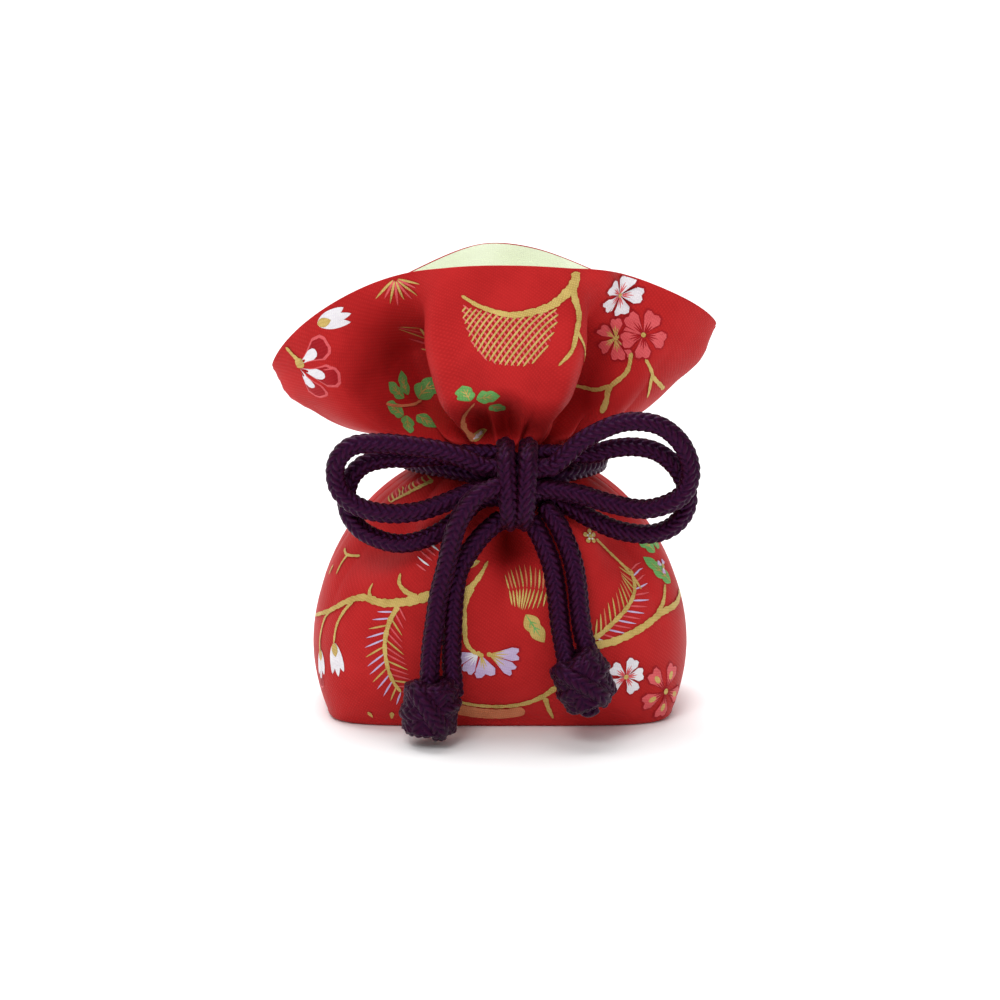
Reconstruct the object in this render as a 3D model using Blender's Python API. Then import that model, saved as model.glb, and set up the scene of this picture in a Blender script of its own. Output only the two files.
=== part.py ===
"""Small kinchaku drawstring pouch: a brocade bag with a lining, drawn shut at the neck
by two braided cords that are tied together in a bow at the front.

Sizes are in millimetres until a mesh is made. +Z is up and the front faces -Y.
The origin is on the table, under the middle of the flat base.
"""

import math

import bmesh
import bpy
import numpy as np
from mathutils import Matrix, Vector

MM = 0.001

# Bag, below the neck
BASE_WIDTH = 72.4
BASE_DEPTH = 44.0
BASE_SQUARENESS = 5.5
BASE_EDGE = 1.4
BELLY_WIDTH = 78.6
BELLY_DEPTH = 54.0
BELLY_HEIGHT = 13.5
BELLY_SQUARENESS = 3.0
SHOULDER_HEIGHT = 50.4
SHOULDER_OVERHANG = 2.6
SHOULDER_SQUARENESS = 2.2
SHOULDER_TUCK = 2.2
LOWER_BODY_RISE = 0.45
LOWER_BODY_SWELL = 0.78

# Neck, where the casing gathers round the cords
NECK_RADIUS = 13.6
NECK_PLEATS = 12
LINING_PLEATS = 6
NECK_HOLE = 8.4
NECK_TUCK = 0.6
PLEAT_DEPTH = 0.75
SHOULDER_PLEAT_DEPTH = 0.9
SHOULDER_PLEAT_RUN = 16.0
MOUTH_PLEAT_DEPTH = 0.9

# Flared mouth above the neck
LEFT_REACH = 47.5
RIGHT_REACH = 45.0
LEFT_TIP_HEIGHT = 71.0
RIGHT_TIP_HEIGHT = 80.0
RIM_HEIGHT = 94.4
MOUTH_DEPTH = 37.0
BACK_RIM_RISE = 1.0
BACK_RIM_FALL = 6.0
BACK_RIM_FALL_WIDTH = 18.5

# Depths of the mouth's folds, first those of its edge
LEFT_EDGE_DIP = 3.4
RIGHT_EDGE_DIP = 5.2
EDGE_OVERHANG = 2.6
BACK_EDGE_DIP = 2.6
LEFT_VALLEY_DEPTH = 15.0
RIGHT_POCKET_DEPTH = 9.5
RIGHT_POCKET_OVERHANG = 2.4
PETAL_BULGE = 4.6
WING_BULGE = 1.8
BACK_VALLEY_DEPTH = 3.0

# Hollows in the body's front, each with its distance of cloth below the crest
KNOT_HOLLOW_DEPTH = 6.5
KNOT_HOLLOW_BELOW = 12.0
LEFT_HOLLOW_DEPTH = 2.8
LEFT_HOLLOW_BELOW = 17.0
RIGHT_HOLLOW_DEPTH = 2.6
RIGHT_HOLLOW_BELOW = 16.0
HOLLOW_REACH = 6.8

# Cloth and cord
BROCADE = 0.7
LINING = 0.4
LINING_GAP = 0.35
LINING_UNDER_CASING = 1.8
LINING_OVER_CASING = 0.9
LINING_NECK_FLARE = 2.0
LINING_NECK_TURN = 0.4
CORD = 4.0
CORD_GAP = 0.35
TOUCH_GAP = 0.3
SLIT_RISE = 1.0
LEAD_RISE = 0.5
LEAD_STAGGER = 0.25

# Worked out from the sizes above
CORD_RADIUS = CORD / 2
CASING_HEIGHT = 2 * CORD + 2 * CORD_GAP
CASING_LOW = SHOULDER_HEIGHT - SHOULDER_TUCK
CASING_HIGH = CASING_LOW + CASING_HEIGHT
CASING_MIDDLE = (CASING_LOW + CASING_HIGH) / 2
SLIT_LOW = CASING_LOW + SLIT_RISE
RING_RADIUS = NECK_RADIUS - PLEAT_DEPTH - BROCADE - CORD_GAP - CORD_RADIUS
LINING_NECK_RADIUS = RING_RADIUS - CORD_RADIUS - CORD_GAP
LEAD_RADIUS = NECK_RADIUS + PLEAT_DEPTH + TOUCH_GAP + CORD_RADIUS
OUTER_LEAD_RADIUS = LEAD_RADIUS + CORD + TOUCH_GAP
LEAD_HEIGHT = CASING_MIDDLE + LEAD_RISE
U_TURN_AT = 206

# Mesh density
COLUMNS = 48
LOOP_SAMPLES = 720
SHOULDER_STEPS = (0.0, 0.25, 0.46, 0.64, 0.78, 0.89, 0.965, 1.0)
MOUTH_STEPS = (0.13, 0.26, 0.39, 0.53, 0.68, 0.84, 1.0)
SLIT_COLUMNS = 3
CORD_SIDES_SETTING = 2
LOOP_STEP = 4.5
NECK_CORD_STEP = 3.1
WRAP_STEP = 3.0
STUB_STEP = 2.5
END_LENGTH = 1.2
KNOT_RING_POINTS = 10
KNOT_RING_SIDES = 6

# Bow, in its own frame: x from the middle of the knot, y from the neck's front, z from the casing
BOW_X = 3.4
BOW_Y = -NECK_RADIUS
BOW_Z = CASING_MIDDLE
KNOT_HALF_WIDTH = 5.2
KNOT_EDGE = 1.0
WRAP_SPREAD = 2.1

# Places round the bag, as a share of the way round from the left side seam
LEFT_WING = 0.075
LEFT_HOLLOW = 0.125
LEFT_VALLEY = 0.163
PETAL_LEFT = 0.195
KNOT_HOLLOW = 0.268
PETAL_RIGHT = 0.328
RIGHT_POCKET = 0.352
RIGHT_HOLLOW = 0.385
RIGHT_SEAM = 0.5
BACK_VALLEYS = ((0.66, 0.03), (0.75, 0.022), (0.855, 0.032))

COLOURS = {
    "brocade": ((0.62, 0.03, 0.035, 1.0), 0.62),
    "lining": ((0.74, 0.82, 0.55, 1.0), 0.7),
    "cord": ((0.035, 0.008, 0.06, 1.0), 0.5),
}


def clear_scene():
    for item in list(bpy.data.objects):
        bpy.data.objects.remove(item, do_unlink=True)


def material(name):
    found = bpy.data.materials.get(name)
    if found:
        return found
    colour, roughness = COLOURS[name]
    made = bpy.data.materials.new(name)
    made.use_nodes = True
    shader = made.node_tree.nodes["Principled BSDF"]
    shader.inputs["Base Color"].default_value = colour
    shader.inputs["Roughness"].default_value = roughness
    shader.inputs["Metallic"].default_value = 0.0
    return made


def mesh_object(name, points, faces, finish, sharp_degrees=None):
    """Adds a mesh from points in millimetres."""
    mesh = bpy.data.meshes.new(name)
    mesh.from_pydata([tuple(p * MM for p in point) for point in points], [], faces)
    mesh.update()
    if sharp_degrees is not None:
        mesh.shade_smooth()
        mesh.set_sharp_from_angle(angle=math.radians(sharp_degrees))
    item = bpy.data.objects.new(name, mesh)
    bpy.context.scene.collection.objects.link(item)
    item.data.materials.append(material(finish))
    return item


def bump(value, middle, spread):
    """Bell curve of a share round the bag; it wraps at the left side seam."""
    away = (np.asarray(value, float) - middle + 0.5) % 1.0 - 0.5
    return np.exp(-((away / spread) ** 2))


def leaning_bump(value, middle, before, after):
    """Bell curve with one spread before its middle and another after it."""
    away = (np.asarray(value, float) - middle + 0.5) % 1.0 - 0.5
    return np.exp(-((away / np.where(away < 0, before, after)) ** 2))


def smooth_step(low, high, value):
    share = np.clip((np.asarray(value, float) - low) / (high - low), 0, 1)
    return share * share * (3 - 2 * share)


def evenly(loop, count):
    """Resamples a closed loop so that columns are evenly spaced along each half.

    The loop starts at the left side seam, and its middle sample is the right side seam.
    """
    half = len(loop) // 2
    closed = np.vstack([loop, loop[:1]])
    parts = []
    for piece in (closed[: half + 1], closed[half:]):
        run = np.r_[0, np.cumsum(np.linalg.norm(np.diff(piece, axis=0), axis=1))]
        at = np.linspace(0, run[-1], count // 2 + 1)[:-1]
        parts.append(np.stack([np.interp(at, run, piece[:, k]) for k in range(3)], axis=1))
    return np.vstack(parts)


def angles():
    """Angles round the bag, counter-clockwise from the left side seam."""
    return np.pi + np.arange(LOOP_SAMPLES) * (2 * np.pi / LOOP_SAMPLES)


def squared_loop(half_width, half_depth, squareness, height):
    """A round-cornered rectangle; 2 gives an ellipse."""
    a = angles()
    c, s = np.cos(a), np.sin(a)
    m = (np.abs(c) ** squareness + np.abs(s) ** squareness) ** (1 / squareness)
    return np.stack([half_width * c / m, half_depth * s / m, np.full_like(a, height)], axis=1)


def rim_loop():
    """The mouth's edge: an eye seen from above, with folds, and lower at its two tips."""
    a = angles()
    c, s = np.cos(a), np.sin(a)
    reach = np.where(c < 0, LEFT_REACH, RIGHT_REACH)
    tip = np.where(c < 0, LEFT_TIP_HEIGHT, RIGHT_TIP_HEIGHT)
    x = reach * c
    y = MOUTH_DEPTH / 2 * np.sign(s) * np.abs(s) ** 1.2
    z = tip + (RIM_HEIGHT - tip) * np.clip(1 - np.abs(c) ** 2.2, 0, 1) ** 0.7
    lower_back = BACK_RIM_FALL * (1 - np.exp(-((x / BACK_RIM_FALL_WIDTH) ** 2))) - BACK_RIM_RISE
    z -= np.where(s > 0, lower_back * np.abs(s) ** 0.7, 0)
    turn = np.degrees(a)
    y += LEFT_EDGE_DIP * np.exp(-(((turn - 242) / 13) ** 2))
    y += RIGHT_EDGE_DIP * np.exp(-(((turn - 304) / np.where(turn < 304, 7, 12)) ** 2))
    x += EDGE_OVERHANG * np.exp(-(((turn - 294) / 7) ** 2))
    for back_turn, spread in ((412, 13), (446, 9), (487, 15)):
        y -= BACK_EDGE_DIP * np.exp(-(((turn - back_turn) / spread) ** 2))
    return np.stack([x, y, z], axis=1)


def pleats(share):
    """Ridges and valleys of the gathers, from -1 to 1, a little uneven."""
    uneven = 0.35 * np.sin(2 * np.pi * 3 * share + 0.7)
    return np.cos(2 * np.pi * NECK_PLEATS * share + uneven)


def shares():
    return np.arange(COLUMNS) / COLUMNS


def push_out(loop, amount):
    """Moves each point of a loop away from the bag's axis."""
    flat = loop[:, :2]
    out = flat / np.linalg.norm(flat, axis=1, keepdims=True)
    moved = loop.copy()
    moved[:, :2] += out * np.asarray(amount)[:, None]
    return moved


def bag_rows():
    """Loops of the bag's outer face, from the base's edge to the rim, each with its part of the bag."""
    crest = NECK_RADIUS + SHOULDER_OVERHANG
    rows = [
        ("base", squared_loop(BASE_WIDTH / 2 - BASE_EDGE, BASE_DEPTH / 2 - BASE_EDGE, BASE_SQUARENESS, 0)),
        ("base", squared_loop(BASE_WIDTH / 2, BASE_DEPTH / 2, BASE_SQUARENESS, BASE_EDGE)),
    ]
    rows.append(
        (
            "body",
            squared_loop(
                BASE_WIDTH / 2 + (BELLY_WIDTH - BASE_WIDTH) / 2 * LOWER_BODY_SWELL,
                BASE_DEPTH / 2 + (BELLY_DEPTH - BASE_DEPTH) / 2 * LOWER_BODY_SWELL,
                (BASE_SQUARENESS + BELLY_SQUARENESS) / 2,
                BELLY_HEIGHT * LOWER_BODY_RISE,
            ),
        )
    )
    for step in SHOULDER_STEPS:
        full = (1 - step**2) ** 0.8
        rows.append(
            (
                "body",
                squared_loop(
                    crest + (BELLY_WIDTH / 2 - crest) * full,
                    crest + (BELLY_DEPTH / 2 - crest) * full,
                    SHOULDER_SQUARENESS + (BELLY_SQUARENESS - SHOULDER_SQUARENESS) * full,
                    BELLY_HEIGHT + (SHOULDER_HEIGHT - BELLY_HEIGHT) * step,
                ),
            )
        )
    tuck = NECK_RADIUS + NECK_TUCK
    rows.append(("neck", squared_loop(tuck, tuck, 2, CASING_LOW + NECK_TUCK)))
    for height in (SLIT_LOW, CASING_HIGH):
        rows.append(("neck", squared_loop(NECK_RADIUS, NECK_RADIUS, 2, height)))
    return rows


def hollows(share, below):
    """How far the body's front is pushed in, at a distance of cloth below the crest."""
    pushed = np.zeros_like(share)
    for place, spread, depth, level in (
        (KNOT_HOLLOW, 0.028, KNOT_HOLLOW_DEPTH, KNOT_HOLLOW_BELOW),
        (LEFT_HOLLOW, 0.028, LEFT_HOLLOW_DEPTH, LEFT_HOLLOW_BELOW),
        (RIGHT_HOLLOW, 0.026, RIGHT_HOLLOW_DEPTH, RIGHT_HOLLOW_BELOW),
    ):
        pushed += depth * math.exp(-(((below - level) / HOLLOW_REACH) ** 2)) * bump(share, place, spread)
    return pushed


def outer_grid():
    """The outer face of the brocade as rows of columns."""
    share = shares()
    loops = [(part, evenly(loop, COLUMNS)) for part, loop in bag_rows()]
    crest = [part for part, _ in loops].index("neck") - 1
    front = np.array([loop[COLUMNS // 4] for _, loop in loops[: crest + 1]])
    length = np.linalg.norm(np.diff(front, axis=0), axis=1)
    below = np.r_[np.cumsum(length[::-1])[::-1], 0]
    rows = []
    for i, (part, even) in enumerate(loops):
        if part == "neck":
            even = push_out(even, PLEAT_DEPTH * pleats(share) * near_seam(share))
        elif part == "body":
            near = float(smooth_step(SHOULDER_HEIGHT - SHOULDER_PLEAT_RUN, SHOULDER_HEIGHT, even[0, 2]))
            folds = SHOULDER_PLEAT_DEPTH * near * pleats(share) * near_seam(share)
            even = push_out(even, folds - hollows(share, float(below[i])))
        rows.append(even)
    root, rim = rows[-1], evenly(rim_loop(), COLUMNS)
    for q in MOUTH_STEPS:
        rows.append(mouth_row(root, rim, share, q))
    return np.array(rows)


def near_seam(share):
    """Pleats are flatter beside the slits, in the side seams."""
    return 1 - bump(share, 0, 0.05) - bump(share, RIGHT_SEAM, 0.05)


def mouth_folds(share, q):
    """The flared mouth's folds: a deep left valley, a forward petal, a right pocket, three at the back."""
    push = np.zeros((COLUMNS, 3))
    left = smooth_step(0.14, 0.5, q) * (1 - smooth_step(0.55, 1.0, q))
    right = smooth_step(0.1, 0.4, q) * (1 - smooth_step(0.5, 0.95, q))
    petal = smooth_step(0.1, 0.42, q) * (1 - 0.7 * smooth_step(0.5, 1.0, q))
    middle = math.sin(math.pi * q)
    tongue = smooth_step(PETAL_LEFT - 0.017, PETAL_LEFT + 0.017, share)
    tongue = tongue * (1 - smooth_step(PETAL_RIGHT - 0.012, PETAL_RIGHT + 0.012, share))
    wing = np.minimum(1, 1.4 * np.sin(2 * np.pi * share) ** 2)
    push[:, 1] += wing * LEFT_VALLEY_DEPTH * left * leaning_bump(share, LEFT_VALLEY, 0.042, 0.024)
    push[:, 1] += wing * RIGHT_POCKET_DEPTH * right * leaning_bump(share, RIGHT_POCKET, 0.016, 0.04)
    push[:, 0] += RIGHT_POCKET_OVERHANG * right * bump(share, PETAL_RIGHT, 0.016)
    push[:, 1] -= PETAL_BULGE * petal * tongue
    push[:, 1] -= WING_BULGE * middle * bump(share, LEFT_WING, 0.03)
    for place, spread in BACK_VALLEYS:
        push[:, 1] -= BACK_VALLEY_DEPTH * middle * bump(share, place, spread)
    return push


def mouth_row(root, rim, share, q):
    """A loop of the flared mouth, q of the way from the neck to the rim."""
    side = np.cos(2 * np.pi * share) ** 2
    curve = np.where(np.abs(share - 0.5) > 0.25, 3.3, 2.2)
    out = (1 - side) * (1 - (1 - q) ** 2.0) + side * q**0.95
    up = (1 - side) * q + side * q**curve
    row = root.copy()
    row[:, :2] += (rim[:, :2] - root[:, :2]) * out[:, None]
    row[:, 2] += (rim[:, 2] - root[:, 2]) * up
    row += mouth_folds(share, q)
    gathered = MOUTH_PLEAT_DEPTH * (1 - q) ** 2 * pleats(share) * near_seam(share) * (1 - 0.8 * side)
    return push_out(row, gathered)


def grid_normals(grid):
    """Outward normals of a grid of closed loops, lengthened at creases so that both sides move alike."""
    ahead = np.roll(grid, -1, axis=1)
    faces = np.cross(ahead[1:] - grid[:-1], grid[1:] - ahead[:-1])
    faces = faces / np.linalg.norm(faces, axis=2, keepdims=True)
    faces = np.concatenate([faces[:1], faces, faces[-1:]])
    around = np.stack([faces[:-1], faces[1:], np.roll(faces[:-1], 1, axis=1), np.roll(faces[1:], 1, axis=1)])
    normal = around.sum(axis=0)
    normal = normal / np.linalg.norm(normal, axis=2, keepdims=True)
    lean = (around * normal).sum(axis=3).min(axis=0)
    return normal / np.clip(lean, 0.3, 1.0)[:, :, None]


def inset(grid, depth):
    """The grid moved inwards by a depth; its lowest row becomes the edge of a flat floor."""
    moved = grid - grid_normals(grid) * depth
    floor = grid[0].copy()
    flat = floor[:, :2]
    floor[:, :2] -= flat / np.linalg.norm(flat, axis=1, keepdims=True) * depth
    floor[:, 2] += depth
    moved[0] = floor
    moved[1, :, 2] = np.maximum(moved[1, :, 2], floor[:, 2] + 0.3)
    return moved


def shell(name, outer, inner, finish, openings=()):
    """A closed shell between two grids, with a flat floor, a rim, and openings through its wall.

    Each opening is (first row, last row, first column, last column) of the outer grid.
    """
    rows, columns = outer.shape[:2]
    points = np.vstack([outer.reshape(-1, 3), inner.reshape(-1, 3)])
    shift = rows * columns

    def at(row, column):
        return row * columns + column % columns

    gone = set()
    for low, high, first, last in openings:
        gone |= {(r, c % columns) for r in range(low, high) for c in range(first, last)}
    faces = [tuple(at(0, c) for c in reversed(range(columns)))]
    faces.append(tuple(shift + at(0, c) for c in range(columns)))
    for r in range(rows - 1):
        for c in range(columns):
            if (r, c) in gone:
                continue
            a, b, d, e = at(r, c), at(r, c + 1), at(r + 1, c + 1), at(r + 1, c)
            for triangle in ((a, b, d), (a, d, e)):
                faces.append(triangle)
                faces.append(tuple(shift + v for v in reversed(triangle)))
    for c in range(columns):
        top, after = at(rows - 1, c), at(rows - 1, c + 1)
        faces.append((top, after, shift + after, shift + top))
    for low, high, first, last in openings:
        edge = [at(low, c) for c in range(first, last)] + [at(r, last) for r in range(low, high)]
        edge += [at(high, c) for c in range(last, first, -1)] + [at(r, first) for r in range(high, low, -1)]
        for a, b in zip(edge, edge[1:] + edge[:1]):
            faces.append((a, b, shift + b, shift + a))
    used = sorted({v for face in faces for v in face})
    renumber = {v: i for i, v in enumerate(used)}
    faces = [tuple(renumber[v] for v in face) for face in faces]
    return mesh_object(name, points[used], faces, finish, sharp_degrees=50)


def brocade_bag(grid):
    """The outer bag, with a slit in each side seam at the casing."""
    first_neck = [part for part, _ in bag_rows()].index("neck") + 1
    half = COLUMNS // 2
    openings = [
        (first_neck, first_neck + 1, -SLIT_COLUMNS, SLIT_COLUMNS),
        (first_neck, first_neck + 1, half - SLIT_COLUMNS, half + SLIT_COLUMNS),
    ]
    return shell("brocade_bag", grid, inset(grid, BROCADE), "brocade", openings)


def lining_neck_rows():
    """The lining leaves the brocade at the casing and passes inside the cords."""
    under, tight, turn = CASING_LOW - LINING_UNDER_CASING, LINING_NECK_RADIUS, LINING_NECK_TURN
    return [
        (NECK_RADIUS - turn, under, 0.0),
        (tight + 4 * turn, under - turn, 0.3),
        (tight, CASING_LOW + turn, 1.0),
        (tight, CASING_HIGH - turn, 1.0),
        (tight + LINING_NECK_FLARE, CASING_HIGH + LINING_OVER_CASING, 0.0),
    ]


def lining_bag(grid):
    """The lining, which follows the brocade and is drawn together inside the cords."""
    share = shares()
    parts = [part for part, _ in bag_rows()]
    crest = parts.index("neck") - 1
    follow = inset(grid, BROCADE + LINING_GAP)
    neck = []
    for radius, height, gather in lining_neck_rows():
        loop = evenly(squared_loop(radius, radius, 2, height), COLUMNS)
        depth = (LINING_NECK_RADIUS - NECK_HOLE / 2) * gather
        fold = (np.cos(2 * np.pi * LINING_PLEATS * share) - 1) / 2
        neck.append(push_out(loop, depth * fold))
    body_rows = [0, *range(2, crest - 1), crest]
    body = follow[body_rows]
    mouth = follow[len(parts) + 1 :].copy()
    mouth[-1] += (mouth[-2] - mouth[-1]) * 0.1
    outer = np.concatenate([body, np.array(neck), mouth])
    return shell("lining", outer, inset(outer, LINING), "lining")


def smooth_line(points, step):
    """A smooth curve through hand-set points, read off at about even steps between its two short ends."""
    route = np.array(points, float)
    ends = np.vstack([2 * route[0] - route[1], route, 2 * route[-1] - route[-2]])
    fine = []
    for a, b, c, d in zip(ends, ends[1:], ends[2:], ends[3:]):
        for t in np.linspace(0, 1, 24, endpoint=False):
            fine.append(
                0.5
                * (2 * b + (c - a) * t + (2 * a - 5 * b + 4 * c - d) * t * t + (3 * b - a - 3 * c + d) * t**3)
            )
    fine = np.vstack([fine, route[-1]])
    run = np.r_[0, np.cumsum(np.linalg.norm(np.diff(fine, axis=0), axis=1))]
    inner = np.linspace(END_LENGTH, run[-1] - END_LENGTH, max(2, round(run[-1] / step) + 1))
    at = np.r_[0, inner, run[-1]]
    return np.stack([np.interp(at, run, fine[:, k]) for k in range(3)], axis=1)


def cord_tube(name, points, step, diameter=CORD):
    """A round cord as a bevelled curve with filled ends, along points in millimetres."""
    line = smooth_line(points, step)
    curve = bpy.data.curves.new(name, "CURVE")
    curve.dimensions = "3D"
    curve.bevel_depth = diameter / 2 * MM
    curve.bevel_resolution = CORD_SIDES_SETTING
    curve.use_fill_caps = True
    spline = curve.splines.new("POLY")
    spline.points.add(len(line) - 1)
    for point, place in zip(spline.points, line):
        point.co = (*(place * MM), 1.0)
    item = bpy.data.objects.new(name, curve)
    bpy.context.scene.collection.objects.link(item)
    curve.materials.append(material("cord"))
    return item


def from_bow(points):
    """Points of the bow's frame in the bag's frame."""
    return [(BOW_X + x, BOW_Y + y, BOW_Z + z) for x, y, z in points]


def polar(turn, radius, height):
    a = math.radians(turn)
    return (radius * math.cos(a), radius * math.sin(a), height)


# Each drawcord outside the neck, from the knot to the side seam and from the side seam back to the
# knot. Heights are from the middle of the leads.
LEFT_LEADS = (
    [(-2.5, -16.4, -0.3), (-4.0, -16.3, -0.2), (-9.3, -13.8, 0), (-12.4, -11.1, 0), (-14.6, -8.1, 0)],
    [(-20.4, -4.7, 0), (-18.4, -9.9, 0), (-15.3, -14.3, 0), (-11.7, -17.4, 0), (-4.4, -20.5, -0.9),
     (-2.5, -20.6, -0.9)],
)
RIGHT_LEADS = (
    [(9.4, -15.9, -0.3), (10.8, -15.6, -0.2), (13.3, -13.0, 0), (14.9, -9.6, 0)],
    [(20.4, -4.7, 0), (20.1, -9.4, 0), (18.3, -13.9, 0), (14.4, -18.4, -0.2), (10.9, -20.2, -0.5),
     (9.4, -20.3, -0.5)],
)


def neck_cord(name, side, ring_height, lead_height, leads):
    """One drawcord round the neck: from the knot, in by its slit, round inside the casing and back.

    side is -1 for the cord that leaves by the left slit and 1 for the right one.
    """
    drop = ring_height - lead_height
    turn = (LEAD_RADIUS - RING_RADIUS) / 2
    middle = np.array(polar(U_TURN_AT, (LEAD_RADIUS + RING_RADIUS) / 2, 0)[:2])
    out = middle / np.linalg.norm(middle)
    across = np.array((out[1], -out[0]))
    inside = []
    for degrees, share in ((20, 0.0), (55, 0.0), (90, 0.2), (125, 0.75), (160, 1.0)):
        a = math.radians(degrees)
        x, y = middle + turn * (math.cos(a) * out + math.sin(a) * across)
        inside.append((x, y, lead_height + drop * share))
    inside += [polar(at, RING_RADIUS, ring_height) for at in range(214, 505, 15)]
    inside += [
        (-8.9, 4.1, ring_height),
        (-10.4, 3.2, lead_height + drop * 0.95),
        (-12.2, 2.8, lead_height + drop * 0.6),
        (-14.2, 2.8, lead_height + drop * 0.2),
        (-17.0, 2.7, lead_height),
        (-19.3, 1.4, lead_height),
        (-20.6, -1.2, lead_height),
    ]
    outgoing, returning = ([(x, y, lead_height + z) for x, y, z in route] for route in leads)
    mirrored = [(-side * x, y, z) for x, y, z in inside]
    return cord_tube(name, outgoing + mirrored + returning, NECK_CORD_STEP)


# Routes of the free strands, in the bow's frame. The knot's faces are KNOT_HALF_WIDTH to each side.
LEFT_FRONT_LOOP = [
    (-5.8, -11.6, 2.2), (-7.2, -11.6, 2.4), (-10.5, -12.0, 4.1), (-15.4, -12.4, 5.8),
    (-21.3, -12.8, 6.8), (-27.3, -13.2, 7.4),
    (-32.6, -13.4, 6.9), (-35.5, -13.2, 4.4), (-36.3, -12.8, 1.1), (-35.4, -12.6, -2.4),
    (-32.8, -12.6, -5.0),
    (-29.0, -12.8, -6.5), (-24.4, -12.8, -7.0), (-19.4, -12.6, -6.5), (-14.4, -12.2, -4.9),
    (-10.0, -11.9, -3.1),
    (-7.2, -11.8, -2.3), (-5.8, -11.8, -2.2),
]
LEFT_BACK_LOOP = [
    (-5.8, -7.4, 4.2), (-7.2, -7.4, 4.2), (-10.9, -7.7, 4.2), (-15.5, -8.0, 3.9), (-21.5, -8.2, 3.5),
    (-26.1, -8.4, 3.4),
    (-30.3, -8.4, 2.4), (-33.0, -8.4, 0.1), (-34.2, -8.2, -3.0), (-34.3, -8.3, -6.1),
    (-33.3, -8.8, -8.9),
    (-30.5, -9.6, -11.6), (-25.4, -10.5, -13.4), (-20.6, -10.8, -13.2), (-15.5, -10.6, -11.2),
    (-11.3, -9.6, -8.2), (-8.7, -8.6, -5.8), (-7.1, -8.1, -4.9), (-5.8, -8.0, -4.7),
]
RIGHT_FRONT_LOOP = [
    (5.8, -11.6, 2.2), (7.2, -11.6, 2.5), (9.6, -12.0, 4.6), (13.2, -12.4, 7.9), (18.9, -13.0, 10.9),
    (23.4, -13.4, 11.8),
    (28.4, -13.4, 10.9), (32.2, -13.4, 7.9), (34.3, -13.0, 3.8), (34.5, -12.8, -0.1),
    (32.8, -12.6, -3.4),
    (29.2, -12.6, -5.4), (24.8, -12.6, -6.1), (19.0, -12.4, -5.1), (12.6, -12.2, -3.2),
    (7.2, -11.8, -2.3),
    (5.8, -11.8, -2.2),
]
RIGHT_BACK_LOOP = [
    (5.8, -7.4, 4.2), (7.2, -7.4, 4.2), (11.6, -7.7, 4.2), (15.7, -8.0, 4.4), (19.1, -8.2, 5.4),
    (23.7, -8.4, 5.8),
    (28.1, -8.4, 4.8), (31.6, -8.4, 2.1), (33.7, -8.2, -1.4), (34.5, -8.2, -5.1), (33.3, -8.4, -8.5),
    (30.5, -8.6, -11.0), (26.3, -8.8, -12.0), (20.8, -8.8, -11.3), (15.8, -8.6, -9.3),
    (10.8, -8.3, -6.5),
    (7.2, -7.9, -4.8), (5.8, -7.9, -4.7),
]
LEFT_FRONT_TAIL = [
    (-5.8, -16.6, -1.6), (-7.8, -17.2, -2.4), (-10.0, -17.5, -4.8), (-11.9, -17.3, -8.3),
    (-13.2, -16.8, -12.8),
    (-14.3, -16.6, -17.7), (-15.6, -16.7, -22.8), (-16.4, -17.3, -28.0), (-17.2, -18.2, -33.8),
    (-17.5, -19.8, -38.9),
]
LEFT_BACK_TAIL = [
    (-6.6, -11.9, -11.2), (-9.2, -12.5, -14.4), (-11.5, -13.2, -18.2), (-12.4, -14.0, -22.1),
    (-12.8, -14.7, -26.5), (-13.0, -15.6, -31.1), (-13.1, -17.2, -36.6), (-12.9, -18.2, -39.2),
]
RIGHT_FRONT_TAIL = [
    (4.8, -11.8, -12.1), (6.0, -12.5, -14.8), (7.0, -13.2, -17.6), (7.7, -14.2, -21.3),
    (8.2, -15.2, -25.2),
    (8.7, -16.3, -29.6), (9.4, -18.3, -33.2),
]
RIGHT_BACK_TAIL = [
    (7.9, -11.2, -8.9), (9.4, -12.0, -11.8), (10.7, -12.9, -14.9), (11.6, -13.9, -18.2),
    (12.2, -14.9, -22.1),
    (12.6, -15.8, -26.4), (13.2, -17.0, -30.6), (13.9, -17.9, -32.9),
]

STRANDS = {
    "left_loop_front": LEFT_FRONT_LOOP,
    "left_loop_back": LEFT_BACK_LOOP,
    "right_loop_front": RIGHT_FRONT_LOOP,
    "right_loop_back": RIGHT_BACK_LOOP,
    "left_tail_front": LEFT_FRONT_TAIL,
    "left_tail_back": LEFT_BACK_TAIL,
    "right_tail_inner": RIGHT_FRONT_TAIL,
    "right_tail_outer": RIGHT_BACK_TAIL,
}

# Bow knot: the block that the loops cross in, seen from the side, and the band wrapped over it
KNOT_SIDE = [
    (-1.3, -1.3), (-1.3, 2.7), (-4.8, 6.2), (-13.6, 5.4), (-13.9, -6.4), (-7.0, -6.8), (-4.4, -1.7),
]
WRAP_ROUTE = [
    (-6.6, 5.4), (-10.6, 5.6), (-14.2, 4.2), (-15.8, -0.3), (-15.7, -5.2), (-13.8, -8.2), (-10.2, -8.9),
]

# End knots: their size, and for each its middle and its cut ends, in the bow's frame, and its lean in degrees
KNOT_CORE_RADIUS = 5.3
KNOT_CORE_STRETCH = 1.1
KNOT_RING_RADIUS = 4.6
KNOT_RINGS = ((-1.6, 16), (2.3, -14))
STUB_DIAMETER = 3.4
LEFT_KNOT = (-17.3, -20.8, -44.9)
LEFT_KNOT_LEAN = 4
LEFT_STUBS = [(-15.9, -24.6, -49.0), (-20.6, -23.4, -48.2)]
RIGHT_KNOT = (13.2, -20.6, -39.4)
RIGHT_KNOT_LEAN = -24
RIGHT_STUBS = [(14.8, -21.6, -46.6)]


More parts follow.
